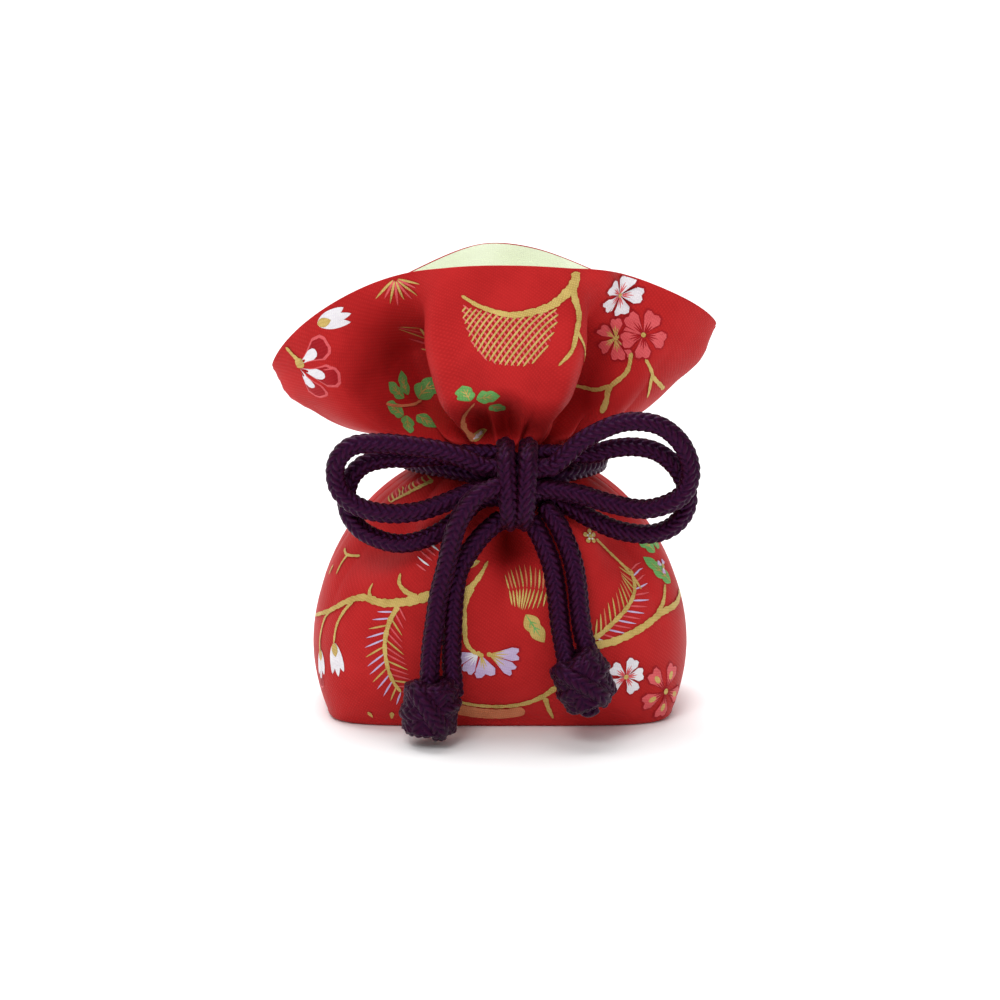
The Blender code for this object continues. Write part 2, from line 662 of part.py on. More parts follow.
def joined(name, pieces):
    """Unites closed meshes into one body and removes the parts."""
    base = pieces[0]
    base.name = name
    for other in pieces[1:]:
        cut = base.modifiers.new("join", "BOOLEAN")
        cut.operation = "UNION"
        cut.solver = "EXACT"
        cut.object = other
        flat = bpy.data.meshes.new_from_object(base.evaluated_get(bpy.context.evaluated_depsgraph_get()))
        base.modifiers.clear()
        base.data = flat
        bpy.data.objects.remove(other, do_unlink=True)
    base.data.shade_smooth()
    base.data.set_sharp_from_angle(angle=math.radians(60))
    return base


def as_mesh(item):
    """A curve object as a mesh object."""
    bpy.context.view_layer.update()
    flat = bpy.data.meshes.new_from_object(item.evaluated_get(bpy.context.evaluated_depsgraph_get()))
    name = item.name
    bpy.data.objects.remove(item, do_unlink=True)
    made = bpy.data.objects.new(name, flat)
    bpy.context.scene.collection.objects.link(made)
    closed = bmesh.new()
    closed.from_mesh(flat)
    bmesh.ops.remove_doubles(closed, verts=closed.verts, dist=1e-6)
    bmesh.ops.recalc_face_normals(closed, faces=closed.faces)
    closed.to_mesh(flat)
    closed.free()
    return made


def bow_knot():
    """The middle of the bow: a block of crossed cord under two turns of the wrapping strand."""
    side = [(BOW_Y + y, BOW_Z + z) for y, z in KNOT_SIDE]
    count = len(side)
    points = [(BOW_X - KNOT_HALF_WIDTH, y, z) for y, z in side]
    points += [(BOW_X + KNOT_HALF_WIDTH, y, z) for y, z in side]
    faces = [tuple(range(count)), tuple(reversed(range(count, 2 * count)))]
    faces += [(i, i + count, (i + 1) % count + count, (i + 1) % count) for i in range(count)]
    block = mesh_object("bow_knot", points, faces, "cord")
    tidy = bmesh.new()
    tidy.from_mesh(block.data)
    bmesh.ops.recalc_face_normals(tidy, faces=tidy.faces)
    bmesh.ops.bevel(tidy, geom=tidy.edges[:], offset=KNOT_EDGE * MM, segments=1, profile=0.5, affect="EDGES")
    tidy.to_mesh(block.data)
    tidy.free()
    bands = []
    for offset in (-WRAP_SPREAD, WRAP_SPREAD):
        route = from_bow([(offset, y, z) for y, z in WRAP_ROUTE])
        bands.append(as_mesh(cord_tube("band", route, WRAP_STEP)))
    return joined("bow_knot", [block, *bands])


def ball(radius, stretch, middle, turn):
    """A slightly stretched ball of cord."""
    made = bmesh.new()
    bmesh.ops.create_icosphere(made, subdivisions=2, radius=radius * MM)
    place = Matrix.Translation(Vector(middle) * MM) @ turn @ Matrix.Diagonal((1, 1, stretch, 1))
    bmesh.ops.transform(made, matrix=place, verts=made.verts)
    mesh = bpy.data.meshes.new("ball")
    made.to_mesh(mesh)
    made.free()
    item = bpy.data.objects.new("ball", mesh)
    bpy.context.scene.collection.objects.link(item)
    return item


def end_knot(name, middle, lean, stubs):
    """An overhand knot in the doubled cord: a core, two slanting turns of cord, and its cut ends."""
    centre = from_bow([middle])[0]
    turn = Matrix.Rotation(math.radians(lean), 4, "Y")
    pieces = [ball(KNOT_CORE_RADIUS, KNOT_CORE_STRETCH, centre, turn)]
    for height, tilt in KNOT_RINGS:
        ring = []
        for k in range(KNOT_RING_POINTS):
            a = 2 * math.pi * k / KNOT_RING_POINTS
            local = Vector((KNOT_RING_RADIUS * math.cos(a), KNOT_RING_RADIUS * math.sin(a), height))
            local = Matrix.Rotation(math.radians(tilt), 3, "Y") @ local
            ring.append(local)
        pieces.append(knot_ring(ring, centre, turn))
    for stub in stubs:
        start = Vector(centre)
        route = [start, (start + Vector(from_bow([stub])[0])) / 2, Vector(from_bow([stub])[0])]
        pieces.append(as_mesh(cord_tube("stub", [tuple(p) for p in route], STUB_STEP, STUB_DIAMETER)))
    made = joined(name, pieces)
    made.data.materials.clear()
    made.data.materials.append(material("cord"))
    return made


def knot_ring(path, centre, turn):
    """A closed ring of cord round a knot."""
    points, faces = [], []
    count, sides = len(path), KNOT_RING_SIDES
    rotation = turn.to_3x3()
    for i, place in enumerate(path):
        along = (path[(i + 1) % count] - path[i - 1]).normalized()
        out = Vector((place.x, place.y, 0)).normalized()
        up = along.cross(out).normalized()
        out = up.cross(along)
        for k in range(sides):
            a = 2 * math.pi * k / sides
            local = place + (out * math.cos(a) + up * math.sin(a)) * CORD_RADIUS
            points.append(tuple(Vector(centre) + rotation @ local))
    for i in range(count):
        for k in range(sides):
            a, b = i * sides + k, i * sides + (k + 1) % sides
            c, d = ((i + 1) % count) * sides + k, ((i + 1) % count) * sides + (k + 1) % sides
            faces.append((a, b, d, c))
    item = mesh_object("ring", points, faces, "cord")
    tidy = bmesh.new()
    tidy.from_mesh(item.data)
    bmesh.ops.recalc_face_normals(tidy, faces=tidy.faces)
    tidy.to_mesh(item.data)
    tidy.free()
    return item


def main():
    clear_scene()
    grid = outer_grid()
    brocade_bag(grid)
    lining_bag(grid)
    low, high = CASING_LOW + CORD_GAP / 2 + CORD_RADIUS, CASING_HIGH - CORD_GAP / 2 - CORD_RADIUS
    neck_cord("left_cord_at_neck", -1, high, LEAD_HEIGHT + LEAD_STAGGER, LEFT_LEADS)
    neck_cord("right_cord_at_neck", 1, low, LEAD_HEIGHT - LEAD_STAGGER, RIGHT_LEADS)
    for name, route in STRANDS.items():
        cord_tube(name, from_bow(route), LOOP_STEP)
    bow_knot()
    end_knot("left_end_knot", LEFT_KNOT, LEFT_KNOT_LEAN, LEFT_STUBS)
    end_knot("right_end_knot", RIGHT_KNOT, RIGHT_KNOT_LEAN, RIGHT_STUBS)


main()
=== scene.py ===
"""Small kinchaku drawstring pouch: brocade bag, lining, braided drawcords, bow and end knots.

Lengths are in millimetres until a mesh is made. The frame gives the bag's reach, height and depth.
"""

from __future__ import annotations

import logging
import math
from dataclasses import dataclass, field, replace
from enum import Enum

import bpy
import numpy as np
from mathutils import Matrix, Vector


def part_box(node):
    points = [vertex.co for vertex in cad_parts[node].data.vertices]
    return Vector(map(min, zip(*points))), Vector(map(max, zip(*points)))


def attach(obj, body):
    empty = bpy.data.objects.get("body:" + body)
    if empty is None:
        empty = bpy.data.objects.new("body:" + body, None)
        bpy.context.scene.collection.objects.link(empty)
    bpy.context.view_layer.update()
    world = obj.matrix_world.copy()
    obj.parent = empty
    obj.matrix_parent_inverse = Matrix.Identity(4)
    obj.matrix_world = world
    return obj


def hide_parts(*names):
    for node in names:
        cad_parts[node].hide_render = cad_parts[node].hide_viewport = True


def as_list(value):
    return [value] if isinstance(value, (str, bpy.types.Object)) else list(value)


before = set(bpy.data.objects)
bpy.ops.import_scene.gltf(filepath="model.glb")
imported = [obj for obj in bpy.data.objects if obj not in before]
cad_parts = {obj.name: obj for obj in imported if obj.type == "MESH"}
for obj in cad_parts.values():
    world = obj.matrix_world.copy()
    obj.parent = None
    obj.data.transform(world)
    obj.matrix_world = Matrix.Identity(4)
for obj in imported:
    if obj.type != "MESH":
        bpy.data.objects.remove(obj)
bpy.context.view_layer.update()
LOG = logging.getLogger("kinchaku")
MM = 0.001

CURVE_STEPS = 40
UV_UNIT = 100
# Relief of each braid, which also sets the painted shade in the cords' grooves
BRAID_LAYER = "braid_height"

Points = np.ndarray
Faces = list[tuple[int, ...]]
Route = list[tuple[float, float, float]]
Surface = tuple[Points, Points, Faces]
Colour = tuple[float, float, float]
Spot = tuple[float, float]


class Side(Enum):
    """A side of the pouch, as seen from the front."""

    LEFT = -1
    RIGHT = 1


class Slot(Enum):
    """Material slots for the kinds of piece."""

    BROCADE = "brocade"
    LINING = "lining"
    CORD = "cord"


def hump(value: Points | float, middle: float, spread: Points | float) -> Points:
    """Bell curve of a plain measure, which is 1 at its middle."""
    return np.exp(-(((value - middle) / spread) ** 2))


def bell(share: Points | float, middle: float, before: float, after: float | None = None) -> Points:
    """Bell curve of a share round the bag, which wraps at the left side seam.

    Args:
        share: Share of the way round from the left side seam.
        middle: Share at the curve's top.
        before: Spread on the lower side.
        after: Spread on the higher side, where it isn't the same.

    Returns:
        Values from 0 to 1, shaped as share.
    """
    away = (np.asarray(share, float) - middle + 0.5) % 1.0 - 0.5
    return hump(away, 0, np.where(away < 0, before, before if after is None else after))


def ramp(low: float, high: float, value: Points | float) -> Points:
    """Smooth step from 0 at low to 1 at high."""
    share = np.clip((np.asarray(value, float) - low) / (high - low), 0, 1)
    return share * share * (3 - 2 * share)


def run_along(line: Points) -> Points:
    """Distance along a line from its start to each of its points."""
    return np.r_[0, np.cumsum(np.linalg.norm(np.diff(line, axis=0), axis=1))]


def route_length(line: Points) -> float:
    """Length along a line of points."""
    return float(run_along(line)[-1])


def read_evenly(line: Points, count: int) -> Points:
    """Reads a number of evenly spaced points along a line, with both of its ends."""
    run = run_along(line)
    at = np.linspace(0, run[-1], count)
    return np.stack([np.interp(at, run, line[:, k]) for k in range(line.shape[1])], axis=1)


def smooth_route(points: Route, step: float) -> Points:
    """Reads a smooth curve through given points at even steps.

    Args:
        points: Points that the curve passes through.
        step: Distance between the points that are read.

    Returns:
        Points along the curve, one row each.
    """
    route = np.array(points, float)
    ends = np.vstack([2 * route[0] - route[1], route, 2 * route[-1] - route[-2]])
    t = np.linspace(0, 1, CURVE_STEPS, endpoint=False)[:, None]
    pieces = []
    for a, b, c, d in zip(ends, ends[1:], ends[2:], ends[3:]):
        cubic = 3 * b - a - 3 * c + d
        pieces.append(0.5 * (2 * b + (c - a) * t + (2 * a - 5 * b + 4 * c - d) * t**2 + cubic * t**3))
    fine = np.vstack([*pieces, route[-1:]])
    return read_evenly(fine, max(2, round(route_length(fine) / step) + 1))


def closed_line(points: Route, step: float) -> Points:
    """Reads a closed smooth curve through points at about even steps."""
    line = smooth_route([*points[-2:], *points, *points[:2]], step / 4)
    away = np.linalg.norm(line - np.array(points[0]), axis=1)
    half = len(line) // 2
    first = int(np.argmin(away[:half]))
    last = half + int(np.argmin(away[half:]))
    line = line[first : last + 1]
    return read_evenly(line, round(route_length(line) / step) + 1)[:-1]


def quads_between(number: Points, closed: bool = False) -> Points:
    """Corners of the faces between neighbouring rows of vertex numbers, whose rows may be closed loops."""
    if closed:
        number = np.hstack([number, number[:, :1]])
    return np.stack([number[:-1, :-1], number[:-1, 1:], number[1:, 1:], number[1:, :-1]], axis=2)


def add_mesh(name: str, points: Points, faces: Faces, finish: bpy.types.Material) -> bpy.types.Object:
    """Makes a smooth-shaded mesh object.

    Args:
        name: Name of the piece.
        points: Vertices in millimetres.
        faces: Vertex numbers of each face.
        finish: Material of the piece.

    Returns:
        The new object.
    """
    mesh = bpy.data.meshes.new(name)
    mesh.from_pydata((np.asarray(points) * MM).tolist(), [], faces)
    mesh.update()
    mesh.shade_smooth()
    item = bpy.data.objects.new(name, mesh)
    bpy.context.scene.collection.objects.link(item)
    mesh.materials.append(finish)
    return item


def add_braids(name: str, surfaces: list[Surface], yarn: bpy.types.Material) -> bpy.types.Object:
    """Joins braided surfaces into one piece and keeps their relief in an attribute, which the yarn also uses
    for painted shade in the grooves.
    """
    faces, first = [], 0
    for points, _, quads in surfaces:
        faces += [tuple(v + first for v in quad) for quad in quads]
        first += len(points)
    item = add_mesh(name, np.vstack([points for points, _, _ in surfaces]), faces, yarn)
    layer = item.data.attributes.new(BRAID_LAYER, "FLOAT", "POINT")
    layer.data.foreach_set("value", np.concatenate([height for _, height, _ in surfaces]).astype(np.float32))
    return item


def corner_vertices(item: bpy.types.Object) -> Points:
    """Vertex number at each corner of each face."""
    vertex = np.empty(len(item.data.loops), np.int64)
    item.data.loops.foreach_get("vertex_index", vertex)
    return vertex


def settle(item: bpy.types.Object, slot: Slot, *nodes: str) -> bpy.types.Object:
    """Lets a piece ride on the pouch and hides the CAD nodes that it stands for."""
    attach(item, "root")
    if nodes:
        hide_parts(*nodes)
    LOG.info("%s: %d faces", item.name, len(item.data.polygons))
    return item


class Paint:
    """A material in the making, with its node tree and its shader."""

    def __init__(self, name: str, values: dict[str, float | tuple[float, ...]]) -> None:
        """Makes the material and sets its shader's inputs by their names."""
        self.material = bpy.data.materials.new(name)
        self.material.use_nodes = True
        self.tree = self.material.node_tree
        self.shader = self.tree.nodes["Principled BSDF"]
        self._set(self.shader, values)

    @staticmethod
    def _set(node: bpy.types.Node, values: dict[str, float | tuple[float, ...]]) -> None:
        """Sets a node's inputs by their names."""
        for key, value in values.items():
            node.inputs[key].default_value = value

    def node(self, kind: str, values: dict[str, float | tuple[float, ...]]) -> bpy.types.Node:
        """Adds a node and sets its inputs by their names."""
        made = self.tree.nodes.new(kind)
        self._set(made, values)
        return made

    def maths(self, operation: str, *terms: bpy.types.NodeSocket | float) -> bpy.types.NodeSocket:
        """Adds a maths node, each of whose terms is a socket or a number."""
        made = self.tree.nodes.new("ShaderNodeMath")
        made.operation = operation
        for slot, term in zip(made.inputs, terms):
            if isinstance(term, bpy.types.NodeSocket):
                self.tree.links.new(term, slot)
            else:
                slot.default_value = term
        return made.outputs[0]

    def noise(self, scale: float, detail: float) -> bpy.types.NodeSocket:
        """Adds noise that stays in place on the piece."""
        made = self.node("ShaderNodeTexNoise", {"Scale": scale, "Detail": detail})
        place = self.tree.nodes.new("ShaderNodeTexCoord")
        self.tree.links.new(place.outputs["Object"], made.inputs["Vector"])
        return made.outputs["Fac"]

    def colour(self, share: bpy.types.NodeSocket, *stops: tuple[float, Colour]) -> None:
        """Blends the base colour between two stops, each a share and its colour."""
        blend = self.tree.nodes.new("ShaderNodeValToRGB")
        for element, (position, colour) in zip(blend.color_ramp.elements, stops):
            element.position = position
            element.color = (*colour, 1)
        self.tree.links.new(share, blend.inputs["Fac"])
        self.tree.links.new(blend.outputs["Color"], self.shader.inputs["Base Color"])

    def relief(self, height: bpy.types.NodeSocket, strength: float, depth: float) -> None:
        """Bumps the surface by a height, with a depth in millimetres."""
        bump = self.node("ShaderNodeBump", {"Strength": strength, "Distance": depth * MM})
        self.tree.links.new(height, bump.inputs["Height"])
        self.tree.links.new(bump.outputs["Normal"], self.shader.inputs["Normal"])


@dataclass(frozen=True)
class Cloth:
    """A cloth or thread finish with a woven relief."""

    name: str
    colour: Colour
    shade: Colour
    roughness: float
    sheen: float
    sheen_tint: Colour
    thread: float
    relief: float
    lean: float = 0.6
    metallic: float = 0.0
    specular: float = 0.35
    patch: float = 9.0

    SHEEN_ROUGHNESS = 0.45
    CROSS_PITCH = 1.35
    WEAVE_SHARE = 0.35
    SHADE_AT = 0.38
    COLOUR_AT = 0.78
    PATCH_DETAIL = 5
    BUMP = 0.7
    THREAD_WAVER = 0.6

    def build(self) -> bpy.types.Material:
        """Makes the material.

        Returns:
            A material whose weave follows the cloth's own measure, in millimetres of cloth.
        """
        paint = Paint(self.name, {
            "Roughness": self.roughness,
            "Metallic": self.metallic,
            "Specular IOR Level": self.specular,
            "Specular Tint": (*self.sheen_tint, 1),
            "Sheen Weight": self.sheen,
            "Sheen Roughness": self.SHEEN_ROUGHNESS,
            "Sheen Tint": (*self.sheen_tint, 1),
        })
        threads = self._threads(paint, self.thread, self.lean)
        crossing = self._threads(paint, self.thread * self.CROSS_PITCH, self.lean + math.pi / 2)
        weave = paint.maths("MULTIPLY", threads, crossing)
        clouds = paint.noise(1 / (self.patch * MM), self.PATCH_DETAIL)
        blend = paint.maths("MULTIPLY_ADD", weave, self.WEAVE_SHARE, clouds)
        paint.colour(blend, (self.SHADE_AT, self.shade), (self.COLOUR_AT, self.colour))
        paint.relief(weave, self.BUMP, self.relief)
        return paint.material

    def _threads(self, paint: Paint, pitch: float, turn: float) -> bpy.types.NodeSocket:
        """Adds parallel threads at a pitch in millimetres of cloth; returns their height socket."""
        place = paint.tree.nodes.new("ShaderNodeTexCoord")
        spin = paint.node("ShaderNodeMapping", {"Rotation": (0, 0, turn)})
        paint.tree.links.new(place.outputs["UV"], spin.inputs["Vector"])
        scale = UV_UNIT * math.pi / 10 / pitch
        wave = paint.node("ShaderNodeTexWave", {"Scale": scale, "Distortion": self.THREAD_WAVER, "Detail": 1})
        paint.tree.links.new(spin.outputs["Vector"], wave.inputs["Vector"])
        return wave.outputs["Fac"]


@dataclass(frozen=True)
class CordYarn:
    """The drawcord's yarn: very dark purple with a violet sheen on the braid's crowns, and painted shade in
    the braid's grooves.
    """

    name: str = "purple_braid"
    crown: Colour = (0.020, 0.0012, 0.0068)
    # Near-black painted shade for the grooves between the braid's stitches
    painted_groove_shade: Colour = (0.0016, 0.0003, 0.0009)
    roughness: float = 0.36
    specular: float = 0.24
    specular_tint: Colour = (0.7, 0.22, 0.9)
    sheen: float = 0.03
    sheen_roughness: float = 0.4
    sheen_tint: Colour = (0.6, 0.3, 0.75)
    # Relief height at and below which the painted groove shade is full
    painted_groove_shade_at: float = 0.3
    crown_at: float = 0.9
    fibre_scale: float = 5200
    fibre_detail: float = 3
    bump: float = 0.45
    fibre_depth: float = 0.12

    def build(self) -> bpy.types.Material:
        """Makes the material, whose grooves get painted shade from the braid's relief."""
        paint = Paint(self.name, {
            "Roughness": self.roughness,
            "Specular IOR Level": self.specular,
            "Specular Tint": (*self.specular_tint, 1),
            "Sheen Weight": self.sheen,
            "Sheen Roughness": self.sheen_roughness,
            "Sheen Tint": (*self.sheen_tint, 1),
        })
        depth = paint.tree.nodes.new("ShaderNodeAttribute")
        depth.attribute_name = BRAID_LAYER
        # Painted shade: the yarn's own colour on the crowns, darkened towards near black in the grooves by
        # the braid's relief
        paint.colour(depth.outputs["Fac"], (self.painted_groove_shade_at, self.painted_groove_shade), (self.crown_at, self.crown))
        paint.relief(paint.noise(self.fibre_scale, self.fibre_detail), self.bump, self.fibre_depth)
        return paint.material


@dataclass(frozen=True)
class Outline:
    """A round-cornered rectangle round the bag's axis; a squareness of 2 gives an ellipse."""

    half_width: float
    half_depth: float
    squareness: float = 2.0

    def inset(self, by: float) -> Outline:
        """The outline drawn in on all sides."""
        return Outline(self.half_width - by, self.half_depth - by, self.squareness)

    def towards(self, other: Outline, share: float) -> Outline:
        """The outline that is a share of the way to another one."""
        return Outline(
            self.half_width + (other.half_width - self.half_width) * share,
            self.half_depth + (other.half_depth - self.half_depth) * share,
            self.squareness + (other.squareness - self.squareness) * share,
        )


@dataclass(frozen=True)
class Gathers:
    """Ridges and valleys all round the bag, which are highest at one level and fade above and below it."""

    count: int
    shift: float
    height: float
    level: float
    spread: float


@dataclass(frozen=True)
class Dent:
    """A hollow in the body, by its depth, its distance below the crest and its share of the way round."""

    depth: float
    below: float
    tall: float
    share: float
    wide: float


@dataclass(frozen=True)
class Fold:
    """A fold by its push in millimetres, its place on the way round and its spread on each side of that."""

    push: float
    at: float
    before: float
    after: float | None = None

    def round_bag(self, share: Points) -> Points:
        """The push at shares of the way round from the left side seam."""
        return self.push * bell(share, self.at, self.before, self.after)

    def on_rim(self, degrees: Points) -> Points:
        """The push at angles round the rim, which start from 180 at the left side seam."""
        after = self.before if self.after is None else self.after
        return self.push * hump(degrees, self.at, np.where(degrees < self.at, self.before, after))


@dataclass(frozen=True)
class Rise:
    """How a fold of the mouth comes and goes, by shares of the way up from the neck to the rim."""

    start: float
    full: float
    fade: float
    end: float
    kept: float = 0.0

    def at(self, q: float) -> float:
        """The fold's strength at one share of the way up."""
        return float(ramp(self.start, self.full, q) * (1 - (1 - self.kept) * ramp(self.fade, self.end, q)))


@dataclass
class BagForm:
    """The drawn-shut bag as a grid of cloth: the base's edge, the body, the neck and the flared mouth."""

    columns: int = 400
    base_half_width: float = 36.2
    base_half_depth: float = 22.0
    base_squareness: float = 5.5
    base_edge: float = 1.4
    belly_half_width: float = 39.3
    belly_height: float = 13.5
    belly_squareness: float = 3.0
    crest_height: float = 50.4
    crest_overhang: float = 2.6
    crest_squareness: float = 2.2
    neck_radius: float = 13.6
    neck_low: float = 48.6
    neck_high: float = 56.9
    mouth_half_depth: float = 18.5
    left_tip: float = 71.0
    right_tip: float = 80.0
    back_rise: float = 1.0
    pleats: int = 19
    left_reach: float = field(init=False)
    right_reach: float = field(init=False)
    rim_height: float = field(init=False)
    belly_half_depth: float = field(init=False)
    share: Points = field(init=False)
    grid: Points = field(init=False)
    cloth_up: Points = field(init=False)
    neck_rows: slice = field(init=False)

    BASE_ROWS = 6
    BELLY_ROWS = 20
    SHOULDER_ROWS = 88
    TUCK_ROWS = 7
    CASING_ROWS = 16
    MOUTH_ROWS = 84
    FINE_STEPS = 1440
    CASING_SWELL = 0.25
    FINE_SHIFT = 0.4
    # Each wave that spaces the gathers unevenly has a height, a count and a share of their shift
    UNEVEN = ((0.9, 2, 1.0), (0.6, 5, 2.1))
    BODY_GATHERS = (Gathers(11, 1.3, 1.25, 6, 8.5), Gathers(6, 2.4, 1.1, 17, 13))
    MOUTH_GATHERS = (Gathers(11, 0.9, 1.5, 0.22, 0.17), Gathers(7, 3.1, 0.8, 0.45, 0.25))
    UNDER_KNOT = Dent(13.5, 13, 6.2, 0.268, 0.026)
    LEFT_OF_KNOT = Dent(5.4, 14, 6.5, 0.108, 0.036)
    RIGHT_OF_KNOT = Dent(2.6, 16, 7, 0.385, 0.026)
    FRONT_RIM_FOLDS = (Fold(3.4, 242, 13), Fold(5.2, 304, 7, 12))
    PETAL_CORNER = Fold(2.6, 294, 7)
    BACK_RIM_FOLDS = (Fold(-2.6, 412, 13), Fold(-2.6, 446, 9), Fold(-2.6, 487, 15))
    BACK_DROP = 6.0
    BACK_DROP_SPREAD = 18.5
    LEFT_TIP_CURVE = 3.3
    RIGHT_TIP_CURVE = 2.2
    TIP_ROUNDING = 0.045
    VALLEY_RISE = Rise(0.02, 0.3, 0.6, 1.0)
    VALLEY = Fold(17.5, 0.172, 0.095, 0.015)
    VALLEY_ROLL = (Fold(3.0, 0.176, 0.013), Fold(-3.0, 0.200, 0.013))
    POCKET_RISE = Rise(0.06, 0.36, 0.6, 1.0)
    POCKET = Fold(11.5, 0.350, 0.013, 0.042)
    POCKET_ROLL = (Fold(3.0, 0.327, 0.013), Fold(-3.0, 0.349, 0.012))
    PETAL_RISE = Rise(0.08, 0.34, 0.5, 1.0, 0.3)
    PETAL_PUSH = 5.6
    PETAL_LEFT_EDGE = (0.178, 0.212)
    PETAL_RIGHT_EDGE = (0.316, 0.34)
    LOW_PIT_RISE = Rise(0.0, 0.07, 0.12, 0.3)
    LOW_PIT = Fold(6.5, 0.222, 0.012)
    HIGH_PIT_RISE = Rise(0.0, 0.07, 0.17, 0.38)
    HIGH_PIT = Fold(7.5, 0.264, 0.018)
    FULL_HEIGHT_FOLDS = (
        Fold(-1.8, 0.075, 0.03), Fold(-3.0, 0.66, 0.03), Fold(-3.0, 0.75, 0.022), Fold(-3.0, 0.855, 0.032),
    )

    def __post_init__(self) -> None:
        """Takes the outer sizes from the frame and lays out the grid."""
        low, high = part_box("brocade_bag")
        self.left_reach = -low.x / MM
        self.right_reach = high.x / MM
        self.rim_height = high.z / MM - self.back_rise
        self.belly_half_depth = high.y / MM
        self.share = np.arange(self.columns) / self.columns
        self.grid = self._rows()
        step = np.linalg.norm(np.diff(self.grid, axis=0), axis=2)
        self.cloth_up = np.r_[0, np.cumsum(np.median(step, axis=1))]

    def girth(self) -> float:
        """Cloth width round the belly, in millimetres."""
        row = self.grid[int(np.argmax(self.grid[:, 0, 0] < -self.belly_half_width + 0.2))]
        return route_length(np.vstack([row, row[:1]]))

    def loop(self, outline: Outline, height: float) -> Points:
        """Evenly spaced loop of an outline at a height."""
        a = self._turns()
        c, s = np.cos(a), np.sin(a)
        m = (np.abs(c) ** outline.squareness + np.abs(s) ** outline.squareness) ** (1 / outline.squareness)
        x, y = outline.half_width * c / m, outline.half_depth * s / m
        return self._even(np.stack([x, y, np.full_like(a, height)], axis=1))

    def _turns(self) -> Points:
        """Angles all the way round from the left side seam, by the front."""
        return math.pi + np.arange(self.FINE_STEPS) * (2 * math.pi / self.FINE_STEPS)

    def _even(self, loop: Points) -> Points:
        """Spaces a loop's points evenly on each side of the seams."""
        half = len(loop) // 2
        closed = np.vstack([loop, loop[:1]])
        return np.vstack([
            read_evenly(piece, self.columns // 2 + 1)[:-1] for piece in (closed[: half + 1], closed[half:])
        ])

    @staticmethod
    def pushed(loop: Points, amount: Points) -> Points:
        """Moves each point of a loop away from the bag's axis."""
        out = loop[:, :2] / np.linalg.norm(loop[:, :2], axis=1, keepdims=True)
        moved = loop.copy()
        moved[:, :2] += out * np.asarray(amount)[:, None]
        return moved

    def near_seam(self) -> Points:
        """Share of the folds' height, which is low beside the side seams, where the cords come out."""
        return 1 - 0.85 * (bell(self.share, 0, 0.03) + bell(self.share, 0.5, 0.03))

    def _gathers(self, count: int, shift: float) -> Points:
        """Round ridges and sharp valleys, unevenly spaced, from -1 to 1."""
        s = self.share
        uneven = sum(
            high * np.sin(2 * math.pi * waves * s + part * shift) for high, waves, part in self.UNEVEN
        )
        phase = math.pi * count * s + 0.5 * uneven
        tall = 0.8 + 0.2 * np.sin(2 * math.pi * 3 * s + 1.7 * shift)
        return (2 * np.abs(np.cos(phase)) ** 0.75 - 1) * tall

    def _layers(self, layers: tuple[Gathers, ...], level: float) -> Points:
        """The sum of some gathers at one level."""
        return sum(
            layer.height * hump(level, layer.level, layer.spread) * self._gathers(layer.count, layer.shift)
            for layer in layers
        )

    def _pleats(self) -> Points:
        """The casing's own pleats, from -1 to 1."""
        return self._gathers(self.pleats, self.FINE_SHIFT)

    def _body_folds(self, below: float) -> Points:
        """Relief on the body at a distance of cloth below the crest: fading gathers and three hollows."""
        fine = 0.9 * math.exp(-below / 4.5) * self._pleats()
        relief = (fine + self._layers(self.BODY_GATHERS, below)) * self.near_seam()
        for dent in (self.UNDER_KNOT, self.LEFT_OF_KNOT, self.RIGHT_OF_KNOT):
            fade = hump(below, dent.below, dent.tall)
            relief = relief - dent.depth * fade * bell(self.share, dent.share, dent.wide)
        return relief

    def _rows(self) -> Points:
        """All loops, from the base's edge to the rim."""
        base = Outline(self.base_half_width, self.base_half_depth, self.base_squareness)
        belly = Outline(self.belly_half_width, self.belly_half_depth, self.belly_squareness)
        crest_radius = self.neck_radius + self.crest_overhang
        crest = Outline(crest_radius, crest_radius, self.crest_squareness)
        rows = []
        for step in np.linspace(0, 1, self.BASE_ROWS):
            turn = step * math.pi / 2
            outline = base.inset(self.base_edge * (1 - math.sin(turn)))
            rows.append(self.loop(outline, self.base_edge * (1 - math.cos(turn))))
        for step in np.linspace(0, 1, self.BELLY_ROWS)[1:-1]:
            outline = base.towards(belly, math.sin(step * math.pi / 2))
            rows.append(self.loop(outline, self.base_edge + (self.belly_height - self.base_edge) * step))
        shoulder = []
        for step in 1 - (1 - np.linspace(0, 1, self.SHOULDER_ROWS)) ** 1.35:
            outline = crest.towards(belly, (1 - step**2) ** 0.8)
            height = self.belly_height + (self.crest_height - self.belly_height) * step
            shoulder.append(self.loop(outline, height))
        length = np.linalg.norm(np.diff(np.array(shoulder)[:, self.columns // 4], axis=0), axis=1)
        below = np.r_[np.cumsum(length[::-1])[::-1], 0]
        rows += [self.pushed(loop, self._body_folds(float(d))) for loop, d in zip(shoulder, below)]
        rows += self._neck_rows(crest_radius, self._body_folds(0.0), len(rows))
        root = rows[-1]
        rim = self._rim()
        rows += [self._mouth_row(root, rim, float(q)) for q in np.linspace(0, 1, self.MOUTH_ROWS)[1:]]
        return np.array(rows)

